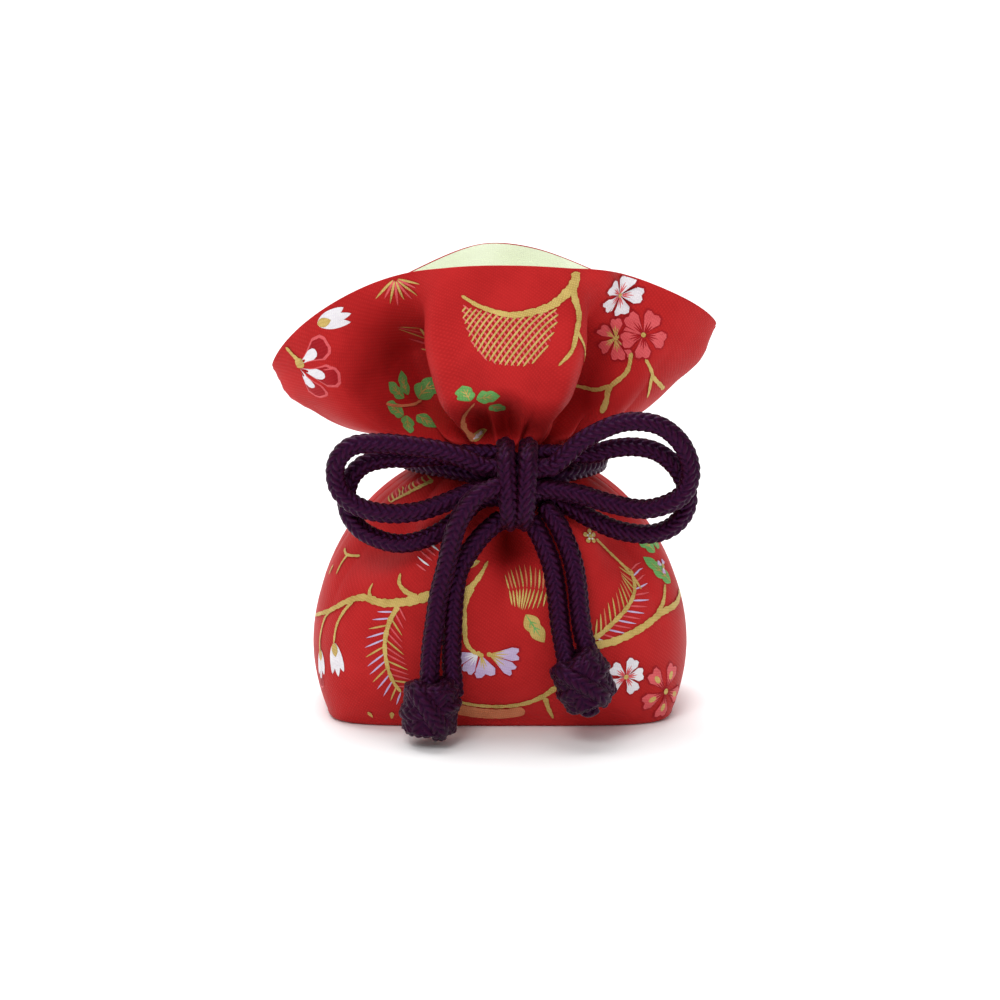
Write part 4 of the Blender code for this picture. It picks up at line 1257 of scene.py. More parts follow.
BODY_MOTIFS = (
    Twig(((8.6, 21.9), (13.4, 23.4), (17.4, 25.0), (21.9, 27.5), (25.8, 28.8), (30.9, 28.2), (36.0, 28.8),
          (39.9, 29.9), (44.6, 32.2)), (0.7, 2.1)),
    Twig(((27.6, 28.9), (26.7, 30.2), (26.6, 31.8)), (0.9, 0.4)),
    Twig(((38.6, 29.8), (35.6, 31.0), (33.6, 32.6), (33.0, 34.6)), (1.2, 0.6)),
    Frond(((34.6, 27.9), (33.2, 24.5), (32.6, 20.1), (33.2, 15.6), (34.3, 12.4), (36.0, 9.9)), 5.0, 1.5, 58,
          (Thread.ROSE, Thread.ROSE, Thread.GOLD), (Thread.GOLD, Thread.LILAC, Thread.LILAC), 1.1),
    Twig(((23.4, 27.8), (21.6, 25.2), (20.4, 22.2), (20.2, 18.4)), (0.8, 0.5)),
    Bud((20.2, 18.6), -78, 7.0),
    Twig(((17.4, 25.0), (15.4, 22.8), (14.6, 18.4), (15.0, 15.6)), (0.7, 0.5)),
    Bud((15.0, 16.2), -84, 6.0),
    PlumPetal((15.4, 13.4), -88, 5.6, 22.0),
    Twig(((10.6, 37.2), (13.2, 36.2), (17.0, 36.4)), (0.6, 0.6)),
    Twig(((13.4, 36.2), (13.2, 34.0), (13.6, 31.8)), (0.6, 0.4)),
    Twig(((9.6, 33.2), (9.8, 31.0)), (0.6, 0.6)),
    Frond(((42.8, 42.6), (40.6, 38.0), (39.6, 35.6)), 4.0, 1.3, 92, (),
          (Thread.ROSE, Thread.ROSE, Thread.WHITE), 0.0),
    Frond(((26.8, 56.4), (22.0, 52.4), (16.0, 49.0)), 4.2, 1.3, 60, (),
          (Thread.GOLD, Thread.GOLD, Thread.ROSE), 0.9),
    Twig(((46.8, 30.0), (49.2, 31.6), (51.4, 34.4), (53.0, 37.6)), (1.7, 0.5)),
    Twig(((50.2, 32.4), (48.8, 28.6), (48.9, 25.0), (49.4, 20.6), (51.4, 18.2)), (1.2, 0.8)),
    Leaf((46.8, 37.2), 8, 4.2, 1.9, thread=Thread.GOLD, rib=Thread.WHITE),
    Blossom((51.8, 18.4), (196, 238), 5.2, Thread.LILAC, Thread.WHITE, 28),
    Blossom((52.4, 18.0), (-78,), 5.4, Thread.LILAC, Thread.GOLD, 46, 0.26),
    Blossom((54.0, 18.2), (-36, 0), 6.8, Thread.LILAC, Thread.GOLD, 22, 0.2),
    Frond(((58.4, 31.2), (62.4, 31.8), (66.4, 31.4)), 4.8, 0.8, 94,
          (Thread.GOLD, Thread.TAN), (Thread.GOLD,), 0.0),
    Leaf((61.6, 26.4), -56, 6.8, 3.6, 2, Thread.GOLD, Thread.LEAF),
    Twig(((46.6, 8.2), (50.4, 7.0), (56.0, 6.5), (61.0, 7.2), (64.8, 9.0), (68.0, 11.6)), (0.7, 1.2)),
    Twig(((65.4, 8.8), (66.2, 6.2), (67.6, 3.2)), (1.1, 0.6)),
    Twig(((47.4, 5.7), (52.0, 4.7), (57.0, 4.5), (61.4, 5.4)), (3.0, 2.6), Thread.TAN, 0.05),
    Twig(((28.2, 4.6), (28.8, 3.2)), (0.8, 0.5)),
    Twig(((33.4, 4.8), (32.9, 3.0)), (0.9, 0.6)),
    Blossom((80.0, 43.0), (10, 82, 154, 226, 298), 1.6, Thread.GOLD, Thread.WHITE, 34, 0.0),
    Twig(((81.8, 42.2), (84.8, 39.6), (87.2, 36.6), (88.4, 33.6), (89.0, 30.2)), (0.7, 0.6)),
    Frond(((73.0, 20.2), (76.4, 21.8), (80.2, 24.6), (84.0, 27.4), (87.2, 30.4), (89.2, 34.2)), 4.8, 1.5, 54,
          (Thread.GOLD, Thread.TAN, Thread.GOLD), (Thread.LILAC, Thread.ROSE), 1.1),
    Twig(((73.4, 19.8), (77.0, 20.0), (80.3, 20.6), (85.4, 22.3), (92.1, 24.7), (98.3, 25.6), (104.0, 27.4)),
         (1.6, 1.2)),
    Twig(((91.2, 24.7), (94.0, 27.0), (96.4, 30.2)), (1.1, 0.6)),
    Leaf((99.2, 30.0), 128, 8.4, 4.0, 3),
    Leaf((98.4, 37.0), 118, 6.6, 4.0, 3),
    Leaf((100.4, 37.4), 60, 6.0, 3.6, 3),
    Blossom((98.6, 33.8), (40, 140, 250), 1.9, Thread.LILAC, Thread.WHITE, 34),
    Blossom((82.0, 12.8), (62, 4, -58, 142, 210), 4.4, Thread.WHITE, Thread.ROSE, 35),
    Blossom((91.6, 8.4), (58, 128, 200, 268, 340), 6.4, Thread.ROSE, Thread.CRIMSON, 29, 0.18, 0.6, 0.7),
)


@dataclass
class BrocadeBag:
    """The outer bag: one cloth from the base to the rim, turned over at the rim, with sewn side seams."""

    form: BagForm
    threads: dict[Thread, bpy.types.Material]
    seam_depth: float = 0.45
    seam_spread: float = 0.0032
    pucker: float = 0.35
    pucker_length: float = 3.1
    flat_rows: int = 8
    hem_radius: float = 0.22
    hem_fall: float = 0.2
    flat: tuple[float, float] = (0.235, 0.125)

    def build(self, finish: bpy.types.Material) -> bpy.types.Object:
        """Args:
            finish: The brocade's ground.

        Returns:
            The bag as an object.
        """
        grid = self._seamed(self.form.grid)
        up = self.form.cloth_up
        hem, hem_up = self._hem(grid, up)
        sheet = GridSheet("brocade_cloth", np.concatenate([grid, hem]), np.r_[up, hem_up], self.form.girth())
        item = sheet.build(finish, floor=True)
        settle(item, Slot.BROCADE, "brocade_bag")
        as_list(self._pictures(grid))
        return item

    def _pictures(self, grid: Points) -> list[bpy.types.Object]:
        """Weaves the motifs, which repeat on the back of the bag."""
        cloth = Weaving(Drape(self.form, grid))
        for cloth.shift in (0.0, self.form.girth() / 2):
            for motif in BODY_MOTIFS + COLLAR_MOTIFS:
                motif.weave(cloth)
        return cloth.build(self.threads)

    def _seamed(self, grid: Points) -> Points:
        """Draws the cloth in a little along both side seams, apart from the base's edge and the casing."""
        s = self.form.share
        line = bell(s, 0, self.seam_spread) + bell(s, 0.5, self.seam_spread)
        pucker = 1 + self.pucker * np.sin(self.form.cloth_up * 2 * math.pi / self.pucker_length)
        pucker[self.form.neck_rows] = 0
        pucker[: self.flat_rows] = 0
        depth = self.seam_depth * pucker[:, None] * line[None, :]
        return grid - self.form.normals(grid) * depth[:, :, None]

    def _hem(self, grid: Points, up: Points) -> tuple[Points, Points]:
        """The rim's turned edge: round over the top and a little way down the inside."""
        normal = self.form.normals(grid)[-1]
        rise = grid[-1] - grid[-3]
        rise /= np.linalg.norm(rise, axis=1, keepdims=True)
        rows, run = [], []
        for turn in np.linspace(0, math.pi, 7)[1:]:
            inward = normal * self.hem_radius * (1 - math.cos(turn))
            rows.append(grid[-1] - inward + rise * self.hem_radius * math.sin(turn))
            run.append(up[-1] + self.hem_radius * turn)
        rows.append(grid[-1] - normal * 2 * self.hem_radius - rise * self.hem_fall)
        run.append(run[-1] + self.hem_fall)
        return np.array(rows), np.array(run)


@dataclass
class LiningBag:
    """The pale lining, which shows inside the mouth and is drawn together inside the cords."""

    form: BagForm
    gap: float = 0.75
    edge_gap: float = 0.6
    mouth_start: int = 20
    lean_back: float = 4.5
    stride: int = 2
    pleats: int = 12
    neck_radius: float = 7.2
    neck_hole: float = 3.4
    base_inset: float = 0.015
    smoothings: int = 40
    flat: tuple[float, float] = (0.235, 0.122)

    def build(self, finish: bpy.types.Material) -> bpy.types.Object:
        form = self.form
        inner = self._inside(form.grid)
        shrunk = 1 - self.base_inset
        inner[0] = form.grid[0] * np.array([shrunk, shrunk, 1]) + np.array([0, 0, self.gap])
        inner[1:7, :, 2] += self.gap * np.linspace(1, 0, 6)[:, None]
        body = inner[: form.neck_rows.start - 2 : 2]
        mouth = inner[form.neck_rows.stop + self.mouth_start : -2 : 2]
        rows = np.concatenate([body, self._neck(), mouth, self._top_edge(form.grid)[None]])
        rows = rows[:, :: self.stride]
        step = np.linalg.norm(np.diff(rows, axis=0), axis=2)
        up = np.r_[0, np.cumsum(np.median(step, axis=1))]
        item = GridSheet("lining_cloth", rows, up, form.girth()).build(finish, floor=True)
        settle(item, Slot.LINING, "lining")
        return item

    def _inside(self, grid: Points) -> Points:
        """The grid moved in by the gap, and drawn smooth where sharp folds would make it cross itself."""
        inner = grid - self.form.normals(grid) * self.gap
        outer_run = np.roll(grid, -1, axis=1) - np.roll(grid, 1, axis=1)
        for _ in range(self.smoothings):
            run = np.roll(inner, -1, axis=1) - np.roll(inner, 1, axis=1)
            turned = (run * outer_run).sum(axis=2) < 0.3 * (outer_run**2).sum(axis=2)
            between = (np.roll(inner, 1, axis=1) + np.roll(inner, -1, axis=1)) / 2
            inner[turned] = between[turned]
        return inner

    def _top_edge(self, grid: Points) -> Points:
        """The lining's upper edge, just inside the brocade's turned rim."""
        return grid[-1] - self.form.normals(grid)[-1] * self.edge_gap

    def _neck(self) -> Points:
        """The gathered waist of the lining, inside both drawcords."""
        form = self.form
        low, high, radius = form.neck_low, form.neck_high, self.neck_radius
        # Each place has a radius, a height and how far the gathers reach in
        profile = [
            (form.neck_radius - 0.6, low - 2.4, 0.0), (10.8, low - 2.9, 0.25), (8.6, low - 2.3, 0.6),
            (radius, low + 0.4, 1.0), (radius, high - 0.6, 1.0),
            (6.4, high + 1.3, 0.8), (5.3, high + 2.9, 0.5), (5.4, high + 4.6, 0.2),
        ]
        phase = math.pi * self.pleats * form.share + 0.5 * np.sin(2 * math.pi * 3 * form.share)
        fold = (radius - self.neck_hole) * (np.abs(np.cos(phase)) ** 0.8 - 1)
        rows = []
        for around, height, gather in smooth_route(profile, 0.9):
            loop = form.pushed(form.loop(Outline(around, around), height), gather * fold)
            loop[:, 1] += self.lean_back * ramp(high + 0.6, high + 3.6, height)
            rows.append(loop)
        return np.array(rows)


@dataclass
class Braid:
    """A round braided cord: six ribs of leaning stitches, so that neighbouring ribs make a row of Vs."""

    diameter: float = 4.0
    ribs: int = 6
    points_per_rib: int = 6
    stitch: float = 1.6
    step: float = 0.24
    relief: float = 0.84
    lean: float = 0.85

    over_round: float = 0.06
    end_rounding: float = 0.9

    def surface(self, line: Points, closed: bool = False) -> Surface:
        """Works out a braided tube along a line.

        Args:
            line: Centreline at even steps, in millimetres.
            closed: Whether the line joins its own start.

        Returns:
            The tube's vertices, their relief from 0 to 1, and its faces.
        """
        along, out, up = self._frames(line, closed)
        sides = self.ribs * self.points_per_rib
        turn = np.arange(sides) / sides
        rib = np.floor(turn * self.ribs).astype(int)
        across = (turn * self.ribs - rib) * 2 - 1 + 1 / self.points_per_rib
        width = math.pi * self.diameter / self.ribs
        sign = np.where(rib % 2 == 0, 1, -1)
        run = np.arange(len(line)) * (route_length(line) / (len(line) - 1))
        slide = sign * across * width / 2 * self.lean / self.stitch + 0.5 * (rib % 2)
        phase = (run[:, None] / self.stitch + slide[None, :] + 0.5) % 1.0 - 0.5
        stitch = np.sqrt(np.clip(1 - (phase / 0.5) ** 2, 0, 1)) ** 0.8
        rounding = np.clip(1 - np.abs(across) ** 3.0, 0, 1) ** 0.5
        height = stitch * (0.25 + 0.75 * rounding)[None, :]
        radius = self.diameter / 2 - self.relief * (1 - height) + self.over_round
        if not closed:
            radius = radius * self._ends(run)[:, None]
        angle = turn * 2 * math.pi
        ring = out[:, None, :] * np.cos(angle)[None, :, None] + up[:, None, :] * np.sin(angle)[None, :, None]
        points = (line[:, None, :] + ring * radius[:, :, None]).reshape(-1, 3)
        number = np.arange(len(line) * sides).reshape(len(line), sides)
        if closed:
            number = np.vstack([number, number[:1]])
        faces = [tuple(quad) for quad in quads_between(number, closed=True).reshape(-1, 4).tolist()]
        if not closed:
            faces += [tuple(number[0][::-1].tolist()), tuple(number[-1].tolist())]
        return points, height.reshape(-1), faces

    def _ends(self, run: Points) -> Points:
        """Rounds both cut ends of a cord."""
        away = np.minimum(run, run[-1] - run)
        return np.sqrt(np.clip(1 - (1 - np.clip(away / self.end_rounding, 0, 1)) ** 2, 0.12, 1))

    @staticmethod
    def _frames(line: Points, closed: bool) -> tuple[Points, Points, Points]:
        """Directions along and across a line that turn as little as they can."""
        along = np.gradient(line, axis=0)
        if closed:
            along = np.roll(line, -1, axis=0) - np.roll(line, 1, axis=0)
        along /= np.linalg.norm(along, axis=1, keepdims=True)
        previous = np.array([0.0, 0.0, 1.0]) if abs(along[0, 2]) < 0.9 else np.array([1.0, 0.0, 0.0])
        out = np.empty_like(along)
        for i, forward in enumerate(along):
            previous = previous - forward * float(previous @ forward)
            previous = previous / np.linalg.norm(previous)
            out[i] = previous
        return along, out, np.cross(along, out)


@dataclass
class Bow:
    """The bow in front of the neck: four loops, four tails and the wrapped knot, in the bow's own frame.

    Its frame's x is from the middle of the knot, y from the front of the neck and z from the casing's middle.
    """

    yarn: bpy.types.Material
    braid: Braid
    centre: tuple[float, float, float] = (3.4, -13.6, 52.55)
    wrap_spread: float = 1.98
    into_knot: float = 2.2
    into_end_knot: float = 4.5

    LOOPS = {
        "left_loop_front": [
            (-5.8, -11.6, 2.2), (-7.2, -11.6, 2.4), (-10.5, -12.0, 4.1), (-15.4, -12.4, 5.8),
            (-21.3, -12.8, 6.8), (-27.3, -13.2, 7.4), (-32.6, -13.4, 6.9), (-35.5, -13.2, 4.4),
            (-36.3, -12.8, 1.1), (-35.4, -12.6, -2.4), (-32.8, -12.6, -5.0), (-29.0, -12.8, -6.5),
            (-24.4, -12.8, -7.0), (-19.4, -12.6, -6.5), (-14.4, -12.2, -4.9), (-10.0, -11.9, -3.1),
            (-7.2, -11.8, -2.3), (-5.8, -11.8, -2.2),
        ],
        "left_loop_back": [
            (-5.8, -7.4, 4.2), (-7.2, -7.4, 4.2), (-10.9, -7.7, 4.2), (-15.5, -8.0, 3.9),
            (-21.5, -8.2, 3.5), (-26.1, -8.4, 3.4), (-30.3, -8.4, 2.4), (-33.0, -8.4, 0.1),
            (-34.2, -8.2, -3.0), (-34.3, -8.3, -6.1), (-33.3, -8.8, -8.9), (-30.5, -9.6, -11.6),
            (-25.4, -10.5, -13.4), (-20.6, -10.8, -13.2), (-15.5, -10.6, -11.2), (-11.3, -9.6, -8.2),
            (-8.7, -8.6, -5.8), (-7.1, -8.1, -4.9), (-5.8, -8.0, -4.7),
        ],
        "right_loop_front": [
            (5.8, -11.6, 2.2), (7.2, -11.6, 2.5), (9.6, -12.0, 4.6), (13.2, -12.4, 7.9),
            (18.9, -13.0, 10.9), (23.4, -13.4, 11.8), (28.4, -13.4, 10.9), (32.2, -13.4, 7.9),
            (34.3, -13.0, 3.8), (34.5, -12.8, -0.1), (32.8, -12.6, -3.4), (29.2, -12.6, -5.4),
            (24.8, -12.6, -6.1), (19.0, -12.4, -5.1), (12.6, -12.2, -3.2), (7.2, -11.8, -2.3),
            (5.8, -11.8, -2.2),
        ],
        "right_loop_back": [
            (5.8, -7.4, 4.2), (7.2, -7.4, 4.2), (11.6, -7.7, 4.2), (15.7, -8.0, 4.4),
            (19.1, -8.2, 5.4), (23.7, -8.4, 5.8), (28.1, -8.4, 4.8), (31.6, -8.4, 2.1),
            (33.7, -8.2, -1.4), (34.5, -8.2, -5.1), (33.3, -8.4, -8.5), (30.5, -8.6, -11.0),
            (26.3, -8.8, -12.0), (20.8, -8.8, -11.3), (15.8, -8.6, -9.3), (10.8, -8.3, -6.5),
            (7.2, -7.9, -4.8), (5.8, -7.9, -4.7),
        ],
    }

    TAILS = {
        "left_tail_front": [
            (-5.8, -16.6, -1.6), (-7.8, -17.2, -2.4), (-10.0, -17.5, -4.8), (-11.9, -17.3, -8.3),
            (-13.2, -16.8, -12.8), (-14.3, -16.6, -17.7), (-15.6, -16.7, -22.8), (-16.4, -17.3, -28.0),
            (-17.2, -18.2, -33.8), (-17.5, -19.8, -38.9),
        ],
        "left_tail_back": [
            (-6.6, -11.9, -11.2), (-9.2, -12.5, -14.4), (-11.5, -13.2, -18.2), (-12.4, -14.0, -22.1),
            (-12.8, -14.7, -26.5), (-13.0, -15.6, -31.1), (-13.1, -17.2, -36.6), (-12.9, -18.2, -39.2),
        ],
        "right_tail_inner": [
            (4.8, -11.8, -12.1), (6.0, -12.5, -14.8), (7.0, -13.2, -17.6), (7.7, -14.2, -21.3),
            (8.2, -15.2, -25.2), (8.7, -16.3, -29.6), (9.4, -18.3, -33.2),
        ],
        "right_tail_outer": [
            (7.9, -11.2, -8.9), (9.4, -12.0, -11.8), (10.7, -12.9, -14.9), (11.6, -13.9, -18.2),
            (12.2, -14.9, -22.1), (12.6, -15.8, -26.4), (13.2, -17.0, -30.6), (13.9, -17.9, -32.9),
        ],
    }

    ROOTS = {
        "left_tail_front": (-3.2, -15.2, -0.6),
        "left_tail_back": (-2.6, -10.6, -8.0),
        "right_tail_inner": (2.6, -10.4, -8.2),
        "right_tail_outer": (5.2, -9.6, -5.6),
    }

    WRAP = [
        (-3.4, 0.0), (-4.2, 3.6), (-7.0, 5.6), (-10.8, 5.8), (-14.1, 4.2), (-15.8, -0.3),
        (-15.7, -5.2), (-13.7, -8.2), (-10.2, -8.9), (-6.6, -7.6), (-4.2, -4.4),
    ]

    CROSSINGS = (
        [(-4.9, -11.6, 2.1), (0, -11.9, 1.0), (4.9, -11.6, 2.1)],
        [(-4.9, -11.9, -2.2), (0, -12.0, -3.2), (4.9, -11.9, -2.2)],
        [(-4.9, -7.6, 3.6), (0, -7.5, 2.6), (4.9, -7.6, 3.6)],
        [(-4.9, -8.0, -4.4), (0, -8.2, -5.0), (4.9, -8.0, -4.4)],
        [(-4.9, -5.2, -0.2), (0, -5.2, -0.2), (4.9, -5.2, -0.2)],
    )

    def placed(self, route: Route) -> Route:
        """Points of the bow's frame in the pouch's frame."""
        cx, cy, cz = self.centre
        return [(cx + x, cy + y, cz + z) for x, y, z in route]

    def build(self) -> None:
        """Makes the wraps, the core, the loops and the tails."""
        wraps = self._wraps()
        lines = [smooth_route(self.placed(crossing), self.braid.step) for crossing in self.CROSSINGS]
        core = add_braids("bow_crossings", [self.braid.surface(line) for line in lines], self.yarn)
        settle(core, Slot.CORD, "bow_knot")
        for name, route in self.LOOPS.items():
            start, end = (self._inside_knot(point) for point in (route[0], route[-1]))
            self._cord(name, self.placed([start, *route, end]))
        for name, route in self.TAILS.items():
            self._cord(name, self.placed(self._rooted(name, route)))

    def _inside_knot(self, point: tuple[float, float, float]) -> tuple[float, float, float]:
        """Where a loop's strand ends under the wrap, onward from its first or last point."""
        x, y, z = point
        return math.copysign(self.into_knot, x), y * 0.98 - 0.1, z * 0.9

    def _rooted(self, name: str, route: Route) -> Route:
        """A tail's route, begun under the wrap and ended inside its end knot."""
        last, before = np.array(route[-1]), np.array(route[-2])
        onward = last + (last - before) / np.linalg.norm(last - before) * self.into_end_knot
        return [self.ROOTS[name], *route, tuple(onward)]

    def _cord(self, name: str, whole: Route) -> None:
        """Makes a free cord."""
        tube = self.braid.surface(smooth_route(whole, self.braid.step))
        item = settle(add_braids(f"{name}_braid", [tube], self.yarn), Slot.CORD, name)

    def _wraps(self) -> list[bpy.types.Object]:
        """The two turns of cord that hold the bow together."""
        made = []
        for name, offset, lean in (("left", -self.wrap_spread, -0.35), ("right", self.wrap_spread, 0.3)):
            route = self.placed([(offset + lean * z / 6, y, z) for y, z in self.WRAP])
            turn = self.braid.surface(closed_line(route, self.braid.step), closed=True)
            made.append(settle(add_braids(f"bow_wrap_{name}", [turn], self.yarn), Slot.CORD))
        return made


@dataclass
class EndKnot:
    """An overhand knot tied in both strands of a tail: slanting turns, one strand over them, and cut ends."""

    side: Side
    bow: Bow
    middle: tuple[float, float, float]
    lean: float
    stubs: Route
    radius: float = 4.3
    heart_half_height: float = 5.2
    heart_diameter: float = 11.2
    heart_ribs: int = 14

    # Each turn has a height, a slant in degrees and a share of the knot's radius
    RINGS = ((3.6, 9, 0.80), (0.1, 15, 1.0), (-3.3, 8, 0.82))
    RING_POINTS = 12
    FLATNESS = 0.94

    def build(self) -> bpy.types.Object:
        """Makes the knot as one piece: its turns, the strand over them, the cut ends and the heart."""
        braid = self.bow.braid
        rings = [closed_line(self._placed(ring), braid.step) for ring in self._turns()]
        surfaces = [braid.surface(ring, closed=True) for ring in rings]
        surfaces.append(braid.surface(smooth_route(self._placed(self._over()), braid.step)))
        centre = np.array(self.bow.placed([self.middle])[0])
        for end in np.array(self.bow.placed(self.stubs)):
            surfaces.append(braid.surface(smooth_route([centre, (centre + end) / 2, end], braid.step)))
        heart = self._placed([(0, 0, height * self.heart_half_height) for height in (-1, 0, 1)])
        thick = replace(braid, diameter=self.heart_diameter, ribs=self.heart_ribs)
        surfaces.append(thick.surface(smooth_route(heart, braid.step)))
        name = f"{self.side.name.lower()}_end_knot"
        return settle(add_braids(f"{name}_cords", surfaces, self.bow.yarn), Slot.CORD, name)

    def _placed(self, route: Points | Route) -> Route:
        """Points of the leaning knot's own frame in the pouch's frame."""
        c, s = math.cos(math.radians(self.lean)), math.sin(math.radians(self.lean))
        turn = np.array([[c, 0, s], [0, 1, 0], [-s, 0, c]])
        centre = np.array(self.bow.placed([self.middle])[0])
        return [tuple(centre + turn @ np.array(point)) for point in route]

    def _turns(self) -> list[Points]:
        """Three slanting turns of cord round the knot."""
        rings = []
        a = np.arange(self.RING_POINTS) * (2 * math.pi / self.RING_POINTS)
        for height, slant, share in self.RINGS:
            reach = self.radius * share
            x, y = reach * np.cos(a), reach * self.FLATNESS * np.sin(a)
            rings.append(np.stack([x, y, height + x * math.tan(math.radians(slant))], axis=1))
        return rings

    def _over(self) -> Points:
        """The strand that slants over the front of the turns."""
        r = self.radius
        return np.array([
            (-0.75 * r, -0.35 * r, 4.7), (-0.5 * r, -0.95 * r, 3.4), (0.05 * r, -1.18 * r, 0.3),
            (0.5 * r, -0.95 * r, -3.0), (0.45 * r, -0.3 * r, -4.8),
        ])


@dataclass
class NeckCord:
    """One drawcord round the neck: out to the side seam, in by its slit, round inside the casing and back."""

    side: Side
    ring_height: float
    lead_height: float
    leads: tuple[Route, Route]
    ring_radius: float = 9.8
    lead_radius: float = 16.65
    u_turn_at: float = 206.0

    # Degrees round the turn, or a place in plan, each with a share of the drop from the ring to the leads
    U_TURN = ((20, 0.0), (55, 0.0), (90, 0.2), (125, 0.75), (160, 1.0))
    RING_TURNS = range(214, 505, 15)
    WAY_OUT = (
        (-8.9, 4.1, 1.0), (-10.4, 3.2, 0.95), (-12.2, 2.8, 0.6), (-14.2, 2.8, 0.2),
        (-17.0, 2.7, 0.0), (-19.3, 1.4, 0.0), (-20.6, -1.2, 0.0),
    )

    def build(self, braid: Braid, yarn: bpy.types.Material) -> bpy.types.Object:
        """Makes the cord, which the bag holds all the way."""
        outgoing, returning = ([(x, y, self.lead_height + z) for x, y, z in route] for route in self.leads)
        mirror = -self.side.value
        route = outgoing + [(mirror * x, y, z) for x, y, z in self._inside()] + returning
        name = f"{self.side.name.lower()}_cord_at_neck"
        tube = braid.surface(smooth_route(route, braid.step))
        return settle(add_braids(f"{name}_braid", [tube], yarn), Slot.CORD, name)

    def _inside(self) -> Route:
        """The left cord's way in by the slit, round inside the casing and out again."""
        drop = self.ring_height - self.lead_height
        turn = (self.lead_radius - self.ring_radius) / 2
        at = math.radians(self.u_turn_at)
        out = np.array((math.cos(at), math.sin(at)))
        middle = out * (self.lead_radius + self.ring_radius) / 2
        across = np.array((out[1], -out[0]))
        route = []
        for degrees, share in self.U_TURN:
            a = math.radians(degrees)
            x, y = middle + turn * (math.cos(a) * out + math.sin(a) * across)
            route.append((x, y, self.lead_height + drop * share))
        for degrees in self.RING_TURNS:
            a = math.radians(degrees)
            route.append((self.ring_radius * math.cos(a), self.ring_radius * math.sin(a), self.ring_height))
        return route + [(x, y, self.lead_height + drop * share) for x, y, share in self.WAY_OUT]


LEFT_LEADS = (
    [(1.0, -16.6, -0.3), (-2.5, -16.4, -0.3), (-4.0, -16.3, -0.2), (-9.3, -13.8, 0), (-12.4, -11.1, 0),
     (-14.6, -8.1, 0)],
    [(-20.4, -4.7, 0), (-18.4, -9.9, 0), (-15.3, -14.3, 0), (-11.7, -17.4, 0), (-4.4, -20.5, -0.9),
     (-2.5, -20.6, -0.9), (1.0, -20.4, -0.9)],
)
RIGHT_LEADS = (
    [(6.0, -16.2, -0.3), (9.4, -15.9, -0.3), (10.8, -15.6, -0.2), (13.3, -13.0, 0), (14.9, -9.6, 0)],
    [(20.4, -4.7, 0), (20.1, -9.4, 0), (18.3, -13.9, 0), (14.4, -18.4, -0.2), (10.9, -20.2, -0.5),
     (9.4, -20.3, -0.5), (6.0, -20.2, -0.5)],
)


@dataclass(frozen=True)
class Lamp:
    """A square soft light that is aimed at the pouch, with sizes in millimetres."""

    name: str
    place: tuple[float, float, float]
    power: float
    size: float


@dataclass
class Studio:
    """A flat pale floor, soft lights and the photograph's view."""

    elevation: float = 11.0
    distance: float = 560.0
    look_at: tuple[float, float, float] = (0.0, 0.0, 43.2)
    light_at: tuple[float, float, float] = (0.0, 0.0, 45.0)
    lens: float = 96.0
    sensor: float = 36.0
    nearest: float = 10.0
    floor_half: float = 30000.0
    floor_colour: Colour = (0.955, 0.95, 0.955)
    floor_roughness: float = 0.9
    surround_colour: Colour = (1.0, 0.995, 0.99)
    surround: float = 0.5
    lamps: tuple[Lamp, ...] = (
        Lamp("key", (-130, -440, 480), 1.3, 240),
        Lamp("fill", (330, -460, 260), 0.1, 300),
    )
    ceiling_power: float = 3.2
    ceiling_angle: float = 60.0
    ceiling_way: tuple[float, float, float] = (0.12, -0.45, -1.0)

    def build(self) -> None:
        """Makes the camera, the floor and the lights."""
        self._camera()
        self._floor()
        self._lights()

    @staticmethod
    def _aimed(name: str, data: bpy.types.Camera | bpy.types.Light, way: Vector) -> bpy.types.Object:
        """Adds an object that looks one way."""
        item = bpy.data.objects.new(name, data)
        item.rotation_euler = way.to_track_quat("-Z", "Y").to_euler()
        bpy.context.scene.collection.objects.link(item)
        return item

    def _camera(self) -> None:
        """Sets the camera at the photograph's angle."""
        tilt = math.radians(self.elevation)
        back = Vector((0, -math.cos(tilt), math.sin(tilt)))
        data = bpy.data.cameras.new("camera")
        data.lens = self.lens
        data.sensor_width = self.sensor
        data.clip_start = self.nearest * MM
        item = self._aimed("camera", data, -back)
        item.location = (Vector(self.look_at) + back * self.distance) * MM
        bpy.context.scene.camera = item

    def _floor(self) -> None:
        """A broad flat floor of white paper."""
        values = {"Base Color": (*self.floor_colour, 1), "Roughness": self.floor_roughness}
        half = self.floor_half
        corners = [(-half, -half, 0), (half, -half, 0), (half, half, 0), (-half, half, 0)]
        add_mesh("floor", np.array(corners), [(0, 1, 2, 3)], Paint("studio_paper", values).material)

    def _lights(self) -> None:
        """A broad light from above, a soft key from the front left, a weak fill and a bright surround."""
        world = bpy.data.worlds.new("surround")
        world.use_nodes = True
        sky = world.node_tree.nodes["Background"]
        sky.inputs["Color"].default_value = (*self.surround_colour, 1)
        sky.inputs["Strength"].default_value = self.surround
        bpy.context.scene.world = world
        for lamp in self.lamps:
            data = bpy.data.lights.new(lamp.name, "AREA")
            data.energy = lamp.power
            data.size = lamp.size * MM
            item = self._aimed(lamp.name, data, Vector(self.light_at) - Vector(lamp.place))
            item.location = Vector(lamp.place) * MM
        ceiling = bpy.data.lights.new("ceiling", "SUN")
        ceiling.energy = self.ceiling_power
        ceiling.angle = math.radians(self.ceiling_angle)
        self._aimed("ceiling", ceiling, Vector(self.ceiling_way))
        bpy.context.scene.view_settings.view_transform = "Standard"


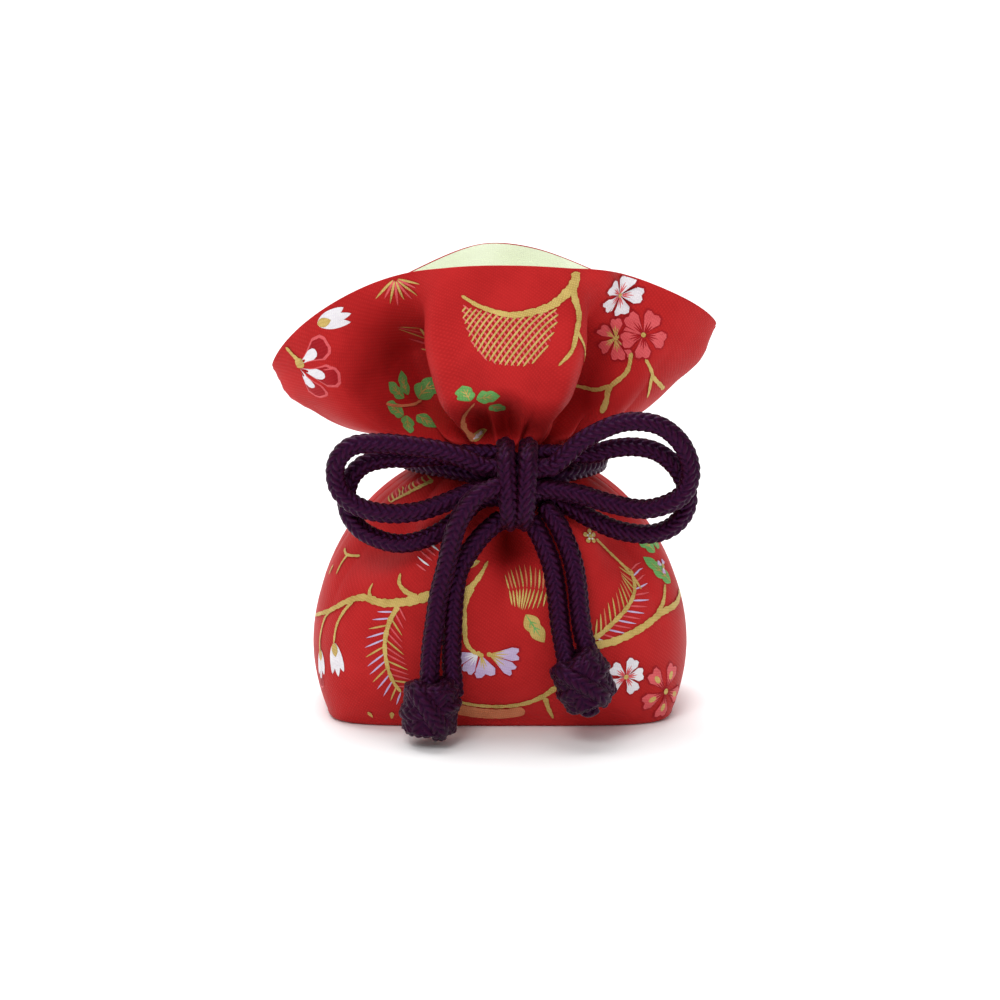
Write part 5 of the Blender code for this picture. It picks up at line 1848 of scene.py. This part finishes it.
def picture_thread(name: str, colour: Colour, shade: Colour, tint: Colour, **others: float) -> Cloth:
    """Finish of a picture thread, which is finer and shinier than the ground."""
    values = {"roughness": 0.5, "sheen": 0.1, "relief": 0.08, "patch": 3.0} | others
    return Cloth(name, colour, shade, sheen_tint=tint, thread=0.42, lean=0.2, **values)


RED_GROUND = Cloth(
    "red_satin_ground", (0.46, 0.018, 0.019), (0.36, 0.012, 0.013), 0.55, 0.04, (1.0, 0.25, 0.22),
    0.5, 0.05, specular=0.2,
)
PICTURE_THREADS = {
    Thread.GOLD: picture_thread(
        "gold_thread", (0.58, 0.42, 0.13), (0.42, 0.28, 0.07), (1.0, 0.85, 0.5),
        roughness=0.42, relief=0.09, metallic=0.25, specular=0.5,
    ),
    Thread.ROSE: picture_thread("rose_thread", (0.68, 0.10, 0.11), (0.55, 0.06, 0.07), (1.0, 0.6, 0.6)),
    Thread.CRIMSON: picture_thread(
        "crimson_thread", (0.36, 0.012, 0.018), (0.26, 0.006, 0.01), (1.0, 0.3, 0.3),
        roughness=0.55, sheen=0.05, relief=0.07, specular=0.2, patch=9.0,
    ),
    Thread.WHITE: picture_thread("white_thread", (0.78, 0.76, 0.78), (0.66, 0.63, 0.68), (1.0, 1.0, 1.0)),
    Thread.LILAC: picture_thread("lilac_thread", (0.56, 0.45, 0.64), (0.46, 0.34, 0.55), (0.95, 0.85, 1.0)),
    Thread.LEAF: picture_thread("leaf_thread", (0.16, 0.42, 0.12), (0.10, 0.30, 0.07), (0.7, 1.0, 0.6)),
    Thread.TAN: picture_thread("tan_thread", (0.60, 0.20, 0.09), (0.48, 0.14, 0.06), (1.0, 0.7, 0.5)),
}
LINING_CLOTH = Cloth(
    "pale_lining_weave", (0.85, 0.90, 0.74), (0.80, 0.85, 0.66), 0.75, 0.15, (1.0, 1.0, 0.9), 0.38, 0.06,
    lean=0.0,
)


def main() -> None:
    """Builds the studio and every piece of the pouch, in order."""
    logging.basicConfig(level=logging.INFO, format="%(message)s")
    Studio().build()
    form = BagForm()
    LOG.info("cloth round the belly %.0f mm, up to the rim %.0f mm", form.girth(), form.cloth_up[-1])
    threads = {thread: cloth.build() for thread, cloth in PICTURE_THREADS.items()}
    BrocadeBag(form, threads).build(RED_GROUND.build())
    LiningBag(form).build(LINING_CLOTH.build())
    yarn = CordYarn().build()
    braid = Braid()
    bow = Bow(yarn, braid)
    EndKnot(Side.LEFT, bow, (-17.3, -20.8, -44.9), 4, [(-15.9, -24.6, -49.6), (-20.0, -23.4, -48.6)]).build()
    EndKnot(Side.RIGHT, bow, (13.2, -20.6, -39.4), -24, [(14.8, -21.6, -46.6)]).build()
    bow.build()
    NeckCord(Side.LEFT, 54.725, 53.3, LEFT_LEADS).build(braid, yarn)
    NeckCord(Side.RIGHT, 50.375, 52.8, RIGHT_LEADS).build(braid, yarn)


if __name__ == "__main__":
    main()
